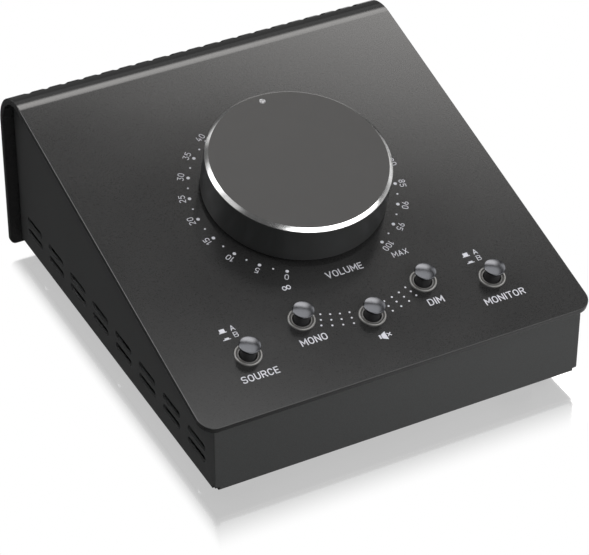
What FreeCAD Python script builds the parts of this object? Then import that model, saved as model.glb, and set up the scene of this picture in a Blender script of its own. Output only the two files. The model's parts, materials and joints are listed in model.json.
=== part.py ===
"""Desktop studio monitor controller: sloped steel case, volume dial, five push buttons, eight sockets.

Millimetres. +X right, -Y front (the low edge of the panel), +Z up. The origin is the middle of the
footprint at the surface that the feet stand on. Pieces on the sloped panel are built in panel
coordinates (u right, v up the slope, w out of the panel, zero at the dial's centre) and then placed.
"""
import FreeCAD
import Part
import math
import os

Vector = FreeCAD.Vector

# ---------------------------------------------------------------- case
COVER_WIDTH = 130.0
COVER_DEPTH = 145.3          # front edge of the panel to the outer face of the rear flap
COVER_SHEET = 2.0
FRONT_EDGE_HEIGHT = 30.5     # top front edge of the panel above the table
PANEL_SLOPE = 15.0           # degrees
BEND_RADIUS = 14.0           # outside radius of the rear bend
PANEL_CORNER = 5.0
FLAP_CORNER = 2.0
FLAP_GROUND_GAP = 4.2
EDGE_ROUND = 0.2

SHELL_SHEET = 0.8
SIDE_OVERHANG = 3.6          # cover beyond the side walls
FRONT_OVERHANG = 1.45        # cover beyond the front wall
SHELL_FLANGE = 8.0
SHELL_EDGE_ROUND = 0.5
SHELL_CORNER = 1.6           # rounded lower front corners

BASE_SHEET = 0.9
BASE_SIDE_INSET = 1.6
BASE_FRONT_INSET = 1.0
BASE_BEND = 1.4
UPRIGHT_TOP_DROP = 1.5       # upright below the start of the rear bend

SEAM = 0.1                   # gap between sheets that lie on each other

FOOT_RADIUS = 5.5
FOOT_HEIGHT = 5.5
FOOT_INSET = 12.0            # foot centre from the front and rear of the base
FOOT_SCREW_GAP = 1.35        # foot's rim to the base screws' heads
FOOT_EDGE = 0.6

# ---------------------------------------------------------------- vents
SIDE_VENT_LENGTH = 11.6
SIDE_VENT_HEIGHT = 2.6
SIDE_VENT_END = 11.7         # first and last column from the wall's ends
SIDE_VENT_COLUMNS = 8
SIDE_VENT_ROW_PITCH = 4.3
SIDE_VENT_ROWS = 2
SIDE_VENT_ABOVE_EDGE = 6.95  # lower row above the wall's lower edge
REAR_VENT_WIDTH = 2.4
REAR_VENT_SIDE = 7.7         # outer vents from the cover's sides
REAR_VENT_COUNT = 20
REAR_VENT_TOP = 68.0         # ends of the vents, in degrees round the bend from the flap
REAR_VENT_FOOT = 4.0

# ---------------------------------------------------------------- fasteners
SCREW_RADIUS = 1.45
SCREW_HEAD_RADIUS = 2.75
SCREW_HEAD_HEIGHT = 1.8
SCREW_RECESS_RADIUS = 1.4
SCREW_RECESS_DEPTH = 0.9
SCREW_RECESS_WIDTH = 0.7
THREAD_FIT = 0.05            # radial gap between a thread and its hole
HOLE_FIT = 0.25              # radial gap of a clearance hole
BASE_SCREW_LENGTH = 5.0
BASE_SCREW_END = 14.0        # first and last screw from the shell's ends
BASE_SCREWS_PER_SIDE = 3
REAR_SCREW_LENGTH = 6.5
REAR_SCREW_EDGE = 10.95      # lower screw above the flap's edge
REAR_SCREW_PITCH = 22.0
STUD_RADIUS = 1.5
STUD_LENGTH = 7.0
STUD_FRONT = 20.0            # studs from the panel's front edge
STUD_PITCH = 74.0
NUT_FLATS = 5.5
NUT_HEIGHT = 2.4

# ---------------------------------------------------------------- volume dial
DIAL_FROM_FRONT = 72.94      # along the slope
KNOB_RADIUS = 28.75
KNOB_HEIGHT = 14.87          # top above the panel
KNOB_CHAMFER = 1.25
KNOB_CHAMFER_DROP = 1.0
KNOB_TAPER = 0.35            # the foot's radius is smaller by this
KNOB_LIFT = 1.2              # gap between knob and panel
KNOB_WALL = 2.2
KNOB_TOP = 2.2
POINTER_RADIUS = 1.0
POINTER_DEPTH = 0.5
POINTER_INSET = 2.4          # from the inner edge of the chamfer
HUB_PLATE = 2.0
HUB_RADIUS = 7.0
HUB_RIBS = 6
HUB_RIB_WIDTH = 1.6
HUB_RIB_HEIGHT = 3.5
HUB_RIB_INSET = 0.5          # ribs end this far inside the plate's rim

SHAFT_RADIUS = 3.0
SHAFT_FLAT = 2.0             # flat from the axis
SHAFT_FIT = 0.05
SHAFT_END_GAP = 0.4          # shaft end below the hub plate's top
BUSH_RADIUS = 4.5
BUSH_HEIGHT = 5.0            # bush above the panel
BUSH_FLANGE = 1.5            # flange beyond the thread
BUSH_FLANGE_HEIGHT = 1.0
HUB_BUSH_GAP = 0.5
POT_SIZE = 24.0
POT_HEIGHT = 12.6
POT_FLOOR = 1.2
POT_FRONT = 1.5
POT_SIDE_WALL = 1.5
ROTOR_GAP = 1.0              # rotor's rim to the case
ROTOR_HEIGHT = 2.0
ROTOR_DROP = 1.0             # rotor below the bush's flange
ELEMENT_HEIGHT = 1.0
ELEMENT_GAP = 0.2
WIPER_INSET = 2.5            # wiper from the rotor's rim
WIPER_SIZE = 1.5
POT_WASHER_RIM = 3.0         # washer beyond the thread
POT_WASHER_HEIGHT = 0.5
POT_NUT_WALL = 1.5           # thread to the nut's flats
POT_NUT_HEIGHT = 2.2
POT_PIN_PITCH = 5.0
POT_PIN_EDGE = 4.5           # pins from the case's front and rear

# ---------------------------------------------------------------- push buttons
BUTTON_SIDE = 24.0           # outer buttons from the cover's sides
BUTTON_FROM_FRONT = 20.84    # source, mute and monitor, along the slope
BUTTON_INNER_RISE = 6.1      # mono and dim stand this much further up the slope
BUTTON_TRAVEL = 2.5
CAP_RADIUS = 3.3
CAP_NECK_GAP = 0.7           # head above the panel when pressed
CAP_UNDERCUT = 1.3           # neck to the widest point
CAP_EDGE = 0.5               # height of the straight rim below the widest point
CAP_DOME = 0.95
CAP_OVERHANG = 0.9           # head beyond the stem
CAP_ROOF = 0.9               # plunger ends this far below the neck
CAP_END_GAP = 1.0            # stem above the switch when pressed
COLLAR_REVEAL = 0.9          # collar beyond the cap
COLLAR_LIP = 0.6             # collar beyond its barrel
COLLAR_RIM = 0.55
COLLAR_RIM_WIDTH = 0.5
COLLAR_FLOOR = 0.2
COLLAR_BARREL_BELOW = 1.7    # barrel beyond the sheet
COLLAR_BORE_FIT = 0.35
PLUNGER_RADIUS = 1.5
PLUNGER_FIT = 0.1
PLUNGER_FLANGE_GAP = 0.3     # flange to the switch's bore
PLUNGER_FLANGE_HEIGHT = 0.8
PLUNGER_TAIL_RADIUS = 1.1
PLUNGER_END_GAP = 0.75       # tail above the switch's floor when pressed
SWITCH_SIZE = 8.5
SWITCH_HEIGHT = 8.0
SWITCH_WALL = 1.0
SPRING_WIRE = 0.35
SPRING_RADIUS = 1.9
SPRING_COILS = 4.5
SPRING_GAP = 0.05
SWITCH_PIN_PITCH = 2.0
SWITCH_PIN_EDGE = 1.75       # pins from the switch's sides

# ---------------------------------------------------------------- boards
BOARD_SHEET = 1.6
BOARD_SIDE_GAP = 0.3         # main board inside the shell's upper flanges
BOARD_FRONT_MARGIN = 7.65    # main board beyond the front switches
BOARD_REAR_GAP = 10.5        # main board to jack board
STANDOFF_FLATS = 5.5
STANDOFF_EDGE_X = 4.0        # standoff centre from the board's side
STANDOFF_EDGE_Y = 4.0
STANDOFF_BORE_SPARE = 3.1    # bore beyond the screw's end
BOARD_SCREW_LENGTH = 6.5
PIN_RADIUS = 0.4
PIN_FIT = 0.1
PIN_BELOW_BOARD = 1.8
RESISTOR_RADIUS = 1.2
RESISTOR_LENGTH = 6.4
RESISTOR_LEAD = 1.6
RESISTOR_PITCH = 4.0
RESISTOR_COUNT = 6
RESISTOR_POT_GAP = 10.0      # lead ends to the potentiometer

# ---------------------------------------------------------------- rear sockets
JACK_SIDE_GAP = 5.0          # outer sockets to the shell's rear flanges
JACK_ROW_GAP = 4.0
JACK_FLOOR_GAP = 2.0         # lower sockets above the base plate
JACK_BODY_WIDTH = 15.5
JACK_BODY_HEIGHT = 16.0
JACK_BODY_DEPTH = 24.0
JACK_BUSH_RADIUS = 5.5
JACK_PROTRUSION = 4.0        # bush beyond the flap
JACK_BORE = 3.25
JACK_FRONT_WALL = 2.5
JACK_BACK_WALL = 1.5
JACK_CONTACT_ROOM = 1.75     # chamber beyond the bore
JACK_MOUTH_CHAMFER = 0.6
JACK_WASHER_RIM = 2.1        # washer beyond the thread
JACK_WASHER_HEIGHT = 0.8
JACK_NUT_WALL = 1.5          # thread to the nut's flats
JACK_NUT_HEIGHT = 2.2
CONTACT_THICKNESS = 0.3
CONTACT_WIDTH = 2.4
CONTACT_GAP = 0.1            # contact outside the plug's path
CONTACT_FRONT_GAPS = (11.0, 7.0, 3.0)   # upper, left and right contact to the chamber's front
JACK_BOARD_MARGIN = 2.0      # board beyond the outer socket bodies
HEADER_LENGTH = 18.0
HEADER_WIDTH = 5.0
HEADER_HEIGHT = 6.0
HEADER_EDGE = 9.0            # header's middle from the main board's rear edge
RIBBON_WIDTH = 15.0
RIBBON_SHEET = 0.9
RIBBON_BEND = 4.5
RIBBON_DROP = 13.0           # lower header below the upper one

# ---------------------------------------------------------------- derived frame
SLOPE = math.radians(PANEL_SLOPE)
FRONT_Y = -(COVER_DEPTH + JACK_PROTRUSION) / 2
REAR_Y = FRONT_Y + COVER_DEPTH
DIAL_Y = FRONT_Y + DIAL_FROM_FRONT * math.cos(SLOPE)
DIAL_Z = FRONT_EDGE_HEIGHT + DIAL_FROM_FRONT * math.sin(SLOPE)
PANEL = FreeCAD.Placement(Vector(0, DIAL_Y, DIAL_Z), FreeCAD.Rotation(Vector(1, 0, 0), PANEL_SLOPE))
BEND_Y = REAR_Y - BEND_RADIUS
BEND_Z = FRONT_EDGE_HEIGHT + (BEND_Y - FRONT_Y) * math.tan(SLOPE) - BEND_RADIUS / math.cos(SLOPE)
FLAP_INNER_Y = REAR_Y - COVER_SHEET
UPRIGHT_REAR_Y = FLAP_INNER_Y - SEAM
UPRIGHT_FRONT_Y = UPRIGHT_REAR_Y - BASE_SHEET
SHELL_HALF = COVER_WIDTH / 2 - SIDE_OVERHANG
SHELL_FRONT_Y = FRONT_Y + FRONT_OVERHANG
SHELL_REAR_Y = UPRIGHT_FRONT_Y - SEAM
BASE_BOTTOM = FOOT_HEIGHT
BASE_TOP = BASE_BOTTOM + BASE_SHEET
SHELL_BOTTOM = BASE_TOP
SHELL_WINDOW = SHELL_HALF - SHELL_FLANGE     # half-width between the shell's flanges
FLANGE_X = SHELL_HALF - SHELL_FLANGE / 2
KNOB_FOOT_RADIUS = KNOB_RADIUS - KNOB_TAPER
HUB_TOP = KNOB_HEIGHT - KNOB_TOP
HUB_BOTTOM = BUSH_HEIGHT + HUB_BUSH_GAP
POT_BORE = POT_SIZE / 2 - POT_SIDE_WALL
ROTOR_RADIUS = POT_BORE - ROTOR_GAP
BOARD_TOP = -(COVER_SHEET + POT_HEIGHT)
BOARD_LOW = BOARD_TOP - BOARD_SHEET
PIN_LOW = BOARD_LOW - PIN_BELOW_BOARD
SWITCH_TOP = BOARD_TOP + SWITCH_HEIGHT
SWITCH_ROOF = SWITCH_TOP - SWITCH_WALL
SWITCH_FLOOR = BOARD_TOP + SWITCH_WALL
SWITCH_BORE = SWITCH_SIZE / 2 - SWITCH_WALL
PLUNGER_FLANGE_LOW = SWITCH_ROOF - SPRING_GAP - PLUNGER_FLANGE_HEIGHT
CAP_NECK = BUTTON_TRAVEL + CAP_NECK_GAP
CAP_WIDEST = CAP_NECK + CAP_UNDERCUT
CAP_STEM_RADIUS = CAP_RADIUS - CAP_OVERHANG
CAP_STEM_LOW = SWITCH_TOP + BUTTON_TRAVEL + CAP_END_GAP
COLLAR_RADIUS = CAP_RADIUS + COLLAR_REVEAL
COLLAR_BARREL_RADIUS = COLLAR_RADIUS - COLLAR_LIP
JACK_BACK_Y = UPRIGHT_FRONT_Y - JACK_BODY_DEPTH
JACK_CHAMBER_BACK = JACK_BACK_Y + JACK_BACK_WALL
JACK_CHAMBER_FRONT = UPRIGHT_FRONT_Y - JACK_FRONT_WALL
JACK_TIP_Y = REAR_Y + JACK_PROTRUSION
JACK_BOARD_FACE = JACK_BACK_Y - BOARD_SHEET
BOARD_HALF = SHELL_WINDOW - BOARD_SIDE_GAP
BOARD_REAR_V = (JACK_BOARD_FACE - BOARD_REAR_GAP - DIAL_Y + BOARD_LOW * math.sin(SLOPE)) / math.cos(SLOPE)
BUTTON_PITCH = (COVER_WIDTH / 2 - BUTTON_SIDE) / 2
BUTTON_OUTER_V = BUTTON_FROM_FRONT - DIAL_FROM_FRONT
BUTTON_INNER_V = BUTTON_OUTER_V + BUTTON_INNER_RISE
BOARD_FRONT_V = BUTTON_OUTER_V - SWITCH_SIZE / 2 - BOARD_FRONT_MARGIN
BUTTONS = {
    "source": (-2 * BUTTON_PITCH, BUTTON_OUTER_V),
    "mono": (-BUTTON_PITCH, BUTTON_INNER_V),
    "mute": (0.0, BUTTON_OUTER_V),
    "dim": (BUTTON_PITCH, BUTTON_INNER_V),
    "monitor": (2 * BUTTON_PITCH, BUTTON_OUTER_V),
}
JACK_COLUMNS = ("a_left", "a_right", "b_left", "b_right")
JACK_ROWS = ("monitor", "source")            # lower row first


# ---------------------------------------------------------------- shape helpers
def block(x0, x1, y0, y1, z0, z1):
    """Box between two corners."""
    return Part.makeBox(x1 - x0, y1 - y0, z1 - z0, Vector(x0, y0, z0))


def rod(radius, start, end):
    """Cylinder from one point to another."""
    axis = end - start
    return Part.makeCylinder(radius, axis.Length, start, axis)


def post(radius, x, y, z0, z1):
    """Upright cylinder."""
    return rod(radius, Vector(x, y, z0), Vector(x, y, z1))


def turned(profile, x=0.0, y=0.0):
    """Solid of revolution about the upright line at x, y from (radius, height) corners."""
    corners = [Vector(x + radius, y, height) for radius, height in profile]
    face = Part.Face(Part.makePolygon(corners + corners[:1]))
    return face.revolve(Vector(x, y, 0), Vector(0, 0, 1), 360)


def ring(outer, inner, x, y, z0, z1):
    """Flat washer shape."""
    return post(outer, x, y, z0, z1).cut(post(inner, x, y, z0, z1))


def hexagon(flats, x, y, z0, z1):
    """Upright hexagonal prism with the given size across flats."""
    radius = flats / math.sqrt(3)
    angles = [math.radians(60 * step + 30) for step in range(6)]
    corners = [Vector(x + radius * math.cos(a), y + radius * math.sin(a), z0) for a in angles]
    return Part.Face(Part.makePolygon(corners + corners[:1])).extrude(Vector(0, 0, z1 - z0))


def on_panel(shape):
    """Move a shape from panel coordinates to the part's frame."""
    shape.Placement = PANEL.multiply(shape.Placement)
    return shape


def out_of_flap(shape, x, z):
    """Lay a shape built along +Z down along +Y, out of the rear flap, at x and z."""
    turn = FreeCAD.Placement(Vector(x, 0, z), FreeCAD.Rotation(Vector(1, 0, 0), -90))
    shape.Placement = turn.multiply(shape.Placement)
    return shape


def lathe_y(profile, x, z):
    """Solid of revolution about a line along Y from (radius, y) corners."""
    return out_of_flap(turned(profile), x, z)


def across(face, half_width):
    """Extrude a face in the YZ plane over the full width."""
    face.translate(Vector(-half_width, 0, 0))
    return face.extrude(Vector(2 * half_width, 0, 0))


def screw(length, radius=SCREW_RADIUS):
    """Pan head screw along -Z with its head's seat at zero and a cross recess."""
    head = post(SCREW_HEAD_RADIUS, 0, 0, 0, SCREW_HEAD_HEIGHT)
    head = head.makeFillet(SCREW_HEAD_HEIGHT / 2, [top_edge(head)])
    floor = SCREW_HEAD_HEIGHT - SCREW_RECESS_DEPTH
    arm = SCREW_RECESS_RADIUS
    half = SCREW_RECESS_WIDTH / 2
    cross = block(-arm, arm, -half, half, floor, SCREW_HEAD_HEIGHT)
    cross = cross.fuse(block(-half, half, -arm, arm, floor, SCREW_HEAD_HEIGHT))
    return head.fuse(post(radius, 0, 0, -length, 0)).cut(cross)


def top_edge(shape):
    """Highest round edge of a shape."""
    return max(shape.Edges, key=lambda edge: edge.BoundBox.ZMin)


def arc_edge(center_y, center_z, radius, start, end):
    """Arc in the YZ plane between two angles, in radians from +Y."""
    points = [Vector(0, center_y + radius * math.cos(a), center_z + radius * math.sin(a))
              for a in (start, (start + end) / 2, end)]
    return Part.Arc(*points).toShape()


def polyline(points):
    """Straight edges through points in the YZ plane."""
    corners = [Vector(0, y, z) for y, z in points]
    return [Part.LineSegment(a, b).toShape() for a, b in zip(corners, corners[1:])]


def slope_z(y, depth):
    """Height of the surface that lies depth below the panel's top, over y."""
    return FRONT_EDGE_HEIGHT + (y - FRONT_Y) * math.tan(SLOPE) - depth / math.cos(SLOPE)


def tangent_point(depth):
    """Where the sloped surface at a depth meets the rear bend."""
    radius = BEND_RADIUS - depth
    return BEND_Y - radius * math.sin(SLOPE), BEND_Z + radius * math.cos(SLOPE)


def under_cover(front_y, rear_y, bottom_z, depth):
    """Side view of the space below the cover, as a face in the YZ plane."""
    radius = BEND_RADIUS - depth
    reach = min(1.0, (rear_y - BEND_Y) / radius)
    end = math.acos(reach)
    rear_z = BEND_Z + radius * math.sin(end)
    arc = arc_edge(BEND_Y, BEND_Z, radius, end, math.pi / 2 + SLOPE)
    front = polyline([tangent_point(depth), (front_y, slope_z(front_y, depth)), (front_y, bottom_z),
                      (rear_y, bottom_z), (rear_y, rear_z)])
    return Part.Face(Part.Wire(Part.__sortEdges__(front + [arc])))


def jack_places():
    """Socket names with their x and z."""
    outer = SHELL_WINDOW - JACK_SIDE_GAP - JACK_BODY_WIDTH / 2
    step = 2 * outer / (len(JACK_COLUMNS) - 1)
    low = BASE_TOP + JACK_FLOOR_GAP + JACK_BODY_HEIGHT / 2
    places = {}
    for row, use in enumerate(JACK_ROWS):
        for column, side in enumerate(JACK_COLUMNS):
            height = low + row * (JACK_BODY_HEIGHT + JACK_ROW_GAP)
            places[use + "_" + side] = (-outer + column * step, height)
    return places


def base_screw_places():
    """Screws that hold the base tray to the shell's lower flanges."""
    first = SHELL_FRONT_Y + BASE_SCREW_END
    step = (SHELL_REAR_Y - BASE_SCREW_END - first) / (BASE_SCREWS_PER_SIDE - 1)
    return [(side * FLANGE_X, first + step * index)
            for side in (-1, 1) for index in range(BASE_SCREWS_PER_SIDE)]


def rear_screw_places():
    """Screws that hold the flap and the upright to the shell's rear flanges."""
    low = FLAP_GROUND_GAP + REAR_SCREW_EDGE
    return [(side * FLANGE_X, low + row * REAR_SCREW_PITCH) for side in (-1, 1) for row in (0, 1)]


def stud_places():
    """Weld studs under the panel, in panel coordinates."""
    first = STUD_FRONT - DIAL_FROM_FRONT
    return [(side * FLANGE_X, first + row * STUD_PITCH) for side in (-1, 1) for row in (0, 1)]


def standoff_places():
    """Standoffs of the main board, in panel coordinates."""
    side = BOARD_HALF - STANDOFF_EDGE_X
    rows = (BOARD_FRONT_V + STANDOFF_EDGE_Y, BOARD_REAR_V - STANDOFF_EDGE_Y)
    return [(sign * side, row) for sign in (-1, 1) for row in rows]


def pin_places():
    """Solder pins of the switches and the potentiometer, in panel coordinates."""
    reach = SWITCH_SIZE / 2 - SWITCH_PIN_EDGE
    row = POT_SIZE / 2 - POT_PIN_EDGE
    switches = [(u + side * reach, v + step * SWITCH_PIN_PITCH)
                for u, v in BUTTONS.values() for side in (-1, 1) for step in (-1, 0, 1)]
    return switches + [(step * POT_PIN_PITCH, side * row) for side in (-1, 1) for step in (-1, 0, 1)]


def foot_places():
    """Centres of the four feet."""
    x = FLANGE_X - SCREW_HEAD_RADIUS - FOOT_SCREW_GAP - FOOT_RADIUS
    front = SHELL_FRONT_Y + BASE_FRONT_INSET + FOOT_INSET
    return [(side * x, y) for side in (-1, 1) for y in (front, UPRIGHT_REAR_Y - FOOT_INSET)]


# ---------------------------------------------------------------- case pieces
def cover_blank():
    """Bent sheet with rounded corners and edges, before its holes."""
    inner = BEND_RADIUS - COVER_SHEET
    start = math.pi / 2 + SLOPE
    outer_arc = arc_edge(BEND_Y, BEND_Z, BEND_RADIUS, start, 0.0)
    inner_arc = arc_edge(BEND_Y, BEND_Z, inner, start, 0.0)
    front_top = (FRONT_Y, FRONT_EDGE_HEIGHT)
    front_low = (FRONT_Y + COVER_SHEET * math.sin(SLOPE), FRONT_EDGE_HEIGHT - COVER_SHEET * math.cos(SLOPE))
    front = polyline([tangent_point(0.0), front_top, front_low, tangent_point(COVER_SHEET)])
    flap = polyline([(REAR_Y, BEND_Z), (REAR_Y, FLAP_GROUND_GAP), (FLAP_INNER_Y, FLAP_GROUND_GAP),
                     (FLAP_INNER_Y, BEND_Z)])
    wire = Part.Wire(Part.__sortEdges__(front + flap + [outer_arc, inner_arc]))
    blank = across(Part.Face(wire), COVER_WIDTH / 2)
    blank = blank.makeFillet(PANEL_CORNER, sheet_corners(blank, FRONT_Y + COVER_SHEET, False))
    blank = blank.makeFillet(FLAP_CORNER, sheet_corners(blank, FLAP_INNER_Y - COVER_SHEET, True))
    return blank.makeFillet(EDGE_ROUND, outside_rim(blank))


def sheet_corners(blank, limit_y, rear):
    """Short edges through the sheet's thickness at the front or at the flap's foot."""
    found = []
    for edge in blank.Edges:
        box = edge.BoundBox
        across_sheet = abs(edge.Length - COVER_SHEET) < 1e-6
        at_end = box.YMin > limit_y if rear else box.YMax < limit_y
        if across_sheet and at_end:
            found.append(edge)
    return found


def outside_rim(blank):
    """Edges of the cover's outer surface along its outline."""
    found = []
    for edge in blank.Edges:
        points = edge.discretize(5)
        crosses_bend = edge.BoundBox.XLength > COVER_WIDTH - 1e-3
        if all(on_outside(point) for point in points) and not crosses_bend:
            found.append(edge)
    return found


def on_outside(point):
    """Whether a point lies on the outer surface of the panel, the bend or the flap."""
    on_slope = abs(point.z - slope_z(point.y, 0.0)) < 1e-4 and point.y < BEND_Y
    on_flap = abs(point.y - REAR_Y) < 1e-4
    on_bend = abs(math.hypot(point.y - BEND_Y, point.z - BEND_Z) - BEND_RADIUS) < 1e-4
    return on_slope or on_flap or (on_bend and point.z > BEND_Z - 1e-4)


def rear_vent(x):
    """Slot round the rear bend, with round ends."""
    end = REAR_VENT_WIDTH / 2 / BEND_RADIUS
    low = math.radians(REAR_VENT_FOOT) + end
    high = math.radians(REAR_VENT_TOP) - end
    inner = BEND_RADIUS - 2 * COVER_SHEET
    outer = BEND_RADIUS + COVER_SHEET
    ends = [(inner, low), (outer, low), (outer, high), (inner, high)]
    points = [(BEND_Y + r * math.cos(a), BEND_Z + r * math.sin(a)) for r, a in ends]
    edges = [polyline(points[0:2])[0], arc_edge(BEND_Y, BEND_Z, outer, low, high),
             polyline(points[2:4])[0], arc_edge(BEND_Y, BEND_Z, inner, high, low)]
    slot = across(Part.Face(Part.Wire(edges)), REAR_VENT_WIDTH / 2)
    slot.translate(Vector(x, 0, 0))
    for angle in (low, high):
        start = Vector(x, BEND_Y + inner * math.cos(angle), BEND_Z + inner * math.sin(angle))
        end = Vector(x, BEND_Y + outer * math.cos(angle), BEND_Z + outer * math.sin(angle))
        slot = slot.fuse(rod(REAR_VENT_WIDTH / 2, start, end))
    return slot


def top_cover():
    """Control panel, rear bend and rear flap in one bent sheet."""
    outer = COVER_WIDTH / 2 - REAR_VENT_SIDE
    step = 2 * outer / (REAR_VENT_COUNT - 1)
    cuts = [rear_vent(-outer + index * step) for index in range(REAR_VENT_COUNT)]
    cuts += flap_holes(FLAP_INNER_Y - COVER_SHEET, REAR_Y + COVER_SHEET)
    holes = [post(BUSH_RADIUS + HOLE_FIT, 0, 0, -2 * COVER_SHEET, COVER_SHEET)]
    for u, v in BUTTONS.values():
        holes.append(post(COLLAR_BARREL_RADIUS + THREAD_FIT, u, v, -2 * COVER_SHEET, COVER_SHEET))
    return cover_blank().cut(cuts + [on_panel(hole) for hole in holes])


def flap_holes(y0, y1):
    """Socket and screw holes through the rear flap or the upright behind it."""
    holes = []
    for x, z in jack_places().values():
        holes.append(rod(JACK_BUSH_RADIUS + THREAD_FIT, Vector(x, y0, z), Vector(x, y1, z)))
    for x, z in rear_screw_places():
        holes.append(rod(SCREW_RADIUS + HOLE_FIT, Vector(x, y0, z), Vector(x, y1, z)))
    return holes


def side_vent(y, z):
    """Slot through both side walls, with round ends."""
    radius = SIDE_VENT_HEIGHT / 2
    reach = SIDE_VENT_LENGTH / 2 - radius
    x = SHELL_HALF + 1
    slot = block(-x, x, y - reach, y + reach, z - radius, z + radius)
    for end in (y - reach, y + reach):
        slot = slot.fuse(rod(radius, Vector(-x, end, z), Vector(x, end, z)))
    return slot


def shell_corner(side):
    """What is cut from one lower front corner to round it in front view and in side view."""
    cut_x = SHELL_HALF - SHELL_CORNER
    cut_y = SHELL_FRONT_Y + SHELL_CORNER
    cut_z = SHELL_BOTTOM + SHELL_CORNER
    corner = block(cut_x, SHELL_HALF + 1, SHELL_FRONT_Y - 1, cut_y, SHELL_BOTTOM - 1, cut_z)
    low = Vector(cut_x, SHELL_FRONT_Y - 2, cut_z)
    across_x = Vector(cut_x - 1, cut_y, cut_z)
    front_view = corner.cut(rod(SHELL_CORNER, low, low + Vector(0, SHELL_CORNER + 4, 0)))
    side_view = corner.cut(rod(SHELL_CORNER, across_x, across_x + Vector(SHELL_CORNER + 4, 0, 0)))
    cut = front_view.fuse(side_view)
    return cut if side > 0 else cut.mirror(Vector(0, 0, 0), Vector(1, 0, 0))


def shell_windows(gap):
    """What is cut out between the flanges below, behind and above, and over the whole bend."""
    half = SHELL_WINDOW
    skin = 2 * SHELL_SHEET
    bend_y = tangent_point(gap)[0]
    flange_top = BEND_Z - UPRIGHT_TOP_DROP
    below = block(-half, half, SHELL_FRONT_Y + SHELL_FLANGE, SHELL_REAR_Y + skin, 0, SHELL_BOTTOM + skin)
    behind = block(-half, half, SHELL_REAR_Y - skin, SHELL_REAR_Y + skin, 0, flange_top)
    front_v = FRONT_OVERHANG + SHELL_FLANGE - DIAL_FROM_FRONT
    rear_v = (BEND_Y - DIAL_Y) / math.cos(SLOPE)
    above = on_panel(block(-half, half, front_v, rear_v, -gap - skin, 0))
    inside = SHELL_HALF - SHELL_SHEET
    bend = block(-inside, inside, bend_y, SHELL_REAR_Y + skin, flange_top, BEND_Z + BEND_RADIUS)
    return [below, behind, above, bend]


def body_shell():
    """Front wall and side walls with flanges turned inwards above, below and behind."""
    gap = COVER_SHEET + SEAM
    outer = across(under_cover(SHELL_FRONT_Y, SHELL_REAR_Y, SHELL_BOTTOM, gap), SHELL_HALF)
    edges = [edge for edge in outer.Edges
             if edge.BoundBox.YMax < SHELL_FRONT_Y + 1e-3 and edge.BoundBox.XLength < 1e-3]
    outer = outer.makeFillet(SHELL_EDGE_ROUND, edges)
    inner = across(under_cover(SHELL_FRONT_Y + SHELL_SHEET, SHELL_REAR_Y - SHELL_SHEET,
                               SHELL_BOTTOM + SHELL_SHEET, gap + SHELL_SHEET), SHELL_HALF - SHELL_SHEET)
    cuts = [inner, shell_corner(-1), shell_corner(1)] + shell_windows(gap)
    step = (SHELL_REAR_Y - SHELL_FRONT_Y - 2 * SIDE_VENT_END) / (SIDE_VENT_COLUMNS - 1)
    for column in range(SIDE_VENT_COLUMNS):
        for row in range(SIDE_VENT_ROWS):
            y = SHELL_FRONT_Y + SIDE_VENT_END + column * step
            cuts.append(side_vent(y, SHELL_BOTTOM + SIDE_VENT_ABOVE_EDGE + row * SIDE_VENT_ROW_PITCH))
    for x, y in base_screw_places():
        cuts.append(post(SCREW_RADIUS + THREAD_FIT, x, y, SHELL_BOTTOM - 1, SHELL_BOTTOM + 2 * SHELL_SHEET))
    for x, z in rear_screw_places():
        cuts.append(rod(SCREW_RADIUS + THREAD_FIT, Vector(x, SHELL_REAR_Y - 2 * SHELL_SHEET, z),
                        Vector(x, SHELL_REAR_Y + 1, z)))
    for u, v in stud_places():
        cuts.append(on_panel(post(STUD_RADIUS + HOLE_FIT, u, v, -gap - 2 * SHELL_SHEET, 0)))
    return outer.cut(cuts)


def base_tray():
    """Bottom plate with the upright that carries the sockets."""
    half = SHELL_HALF - BASE_SIDE_INSET
    front = SHELL_FRONT_Y + BASE_FRONT_INSET
    top = BEND_Z - UPRIGHT_TOP_DROP
    outline = polyline([(front, BASE_BOTTOM), (UPRIGHT_REAR_Y, BASE_BOTTOM), (UPRIGHT_REAR_Y, top),
                        (UPRIGHT_FRONT_Y, top), (UPRIGHT_FRONT_Y, BASE_TOP), (front, BASE_TOP),
                        (front, BASE_BOTTOM)])
    tray = across(Part.Face(Part.Wire(outline)), half)
    corner = [edge for edge in tray.Edges
              if edge.BoundBox.YMin > UPRIGHT_REAR_Y - 1e-3 and edge.BoundBox.ZMax < BASE_BOTTOM + 1e-3]
    tray = tray.makeFillet(BASE_BEND, corner)
    cuts = flap_holes(UPRIGHT_FRONT_Y - 1, UPRIGHT_REAR_Y + 1)
    for x, y in base_screw_places():
        cuts.append(post(SCREW_RADIUS + HOLE_FIT, x, y, BASE_BOTTOM - 1, BASE_TOP + 1))
    return tray.cut(cuts)


def rubber_feet():
    """Four round feet stuck under the base tray."""
    feet = []
    for x, y in foot_places():
        foot = post(FOOT_RADIUS, x, y, 0, BASE_BOTTOM)
        edge = min(foot.Edges, key=lambda item: item.BoundBox.ZMax)
        feet.append(foot.makeFillet(FOOT_EDGE, [edge]))
    return Part.makeCompound(feet)


def base_screws():
    """Screws from below into the shell's lower flanges."""
    screws = []
    for x, y in base_screw_places():
        item = screw(BASE_SCREW_LENGTH)
        turn = FreeCAD.Rotation(Vector(1, 0, 0), 180)
        item.Placement = FreeCAD.Placement(Vector(x, y, BASE_BOTTOM), turn)
        screws.append(item)
    return Part.makeCompound(screws)


def rear_screws():
    """Screws through the flap and the upright into the shell's rear flanges."""
    screws = []
    for x, z in rear_screw_places():
        item = screw(REAR_SCREW_LENGTH)
        turn = FreeCAD.Rotation(Vector(1, 0, 0), -90)
        item.Placement = FreeCAD.Placement(Vector(x, REAR_Y, z), turn)
        screws.append(item)
    return Part.makeCompound(screws)


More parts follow.
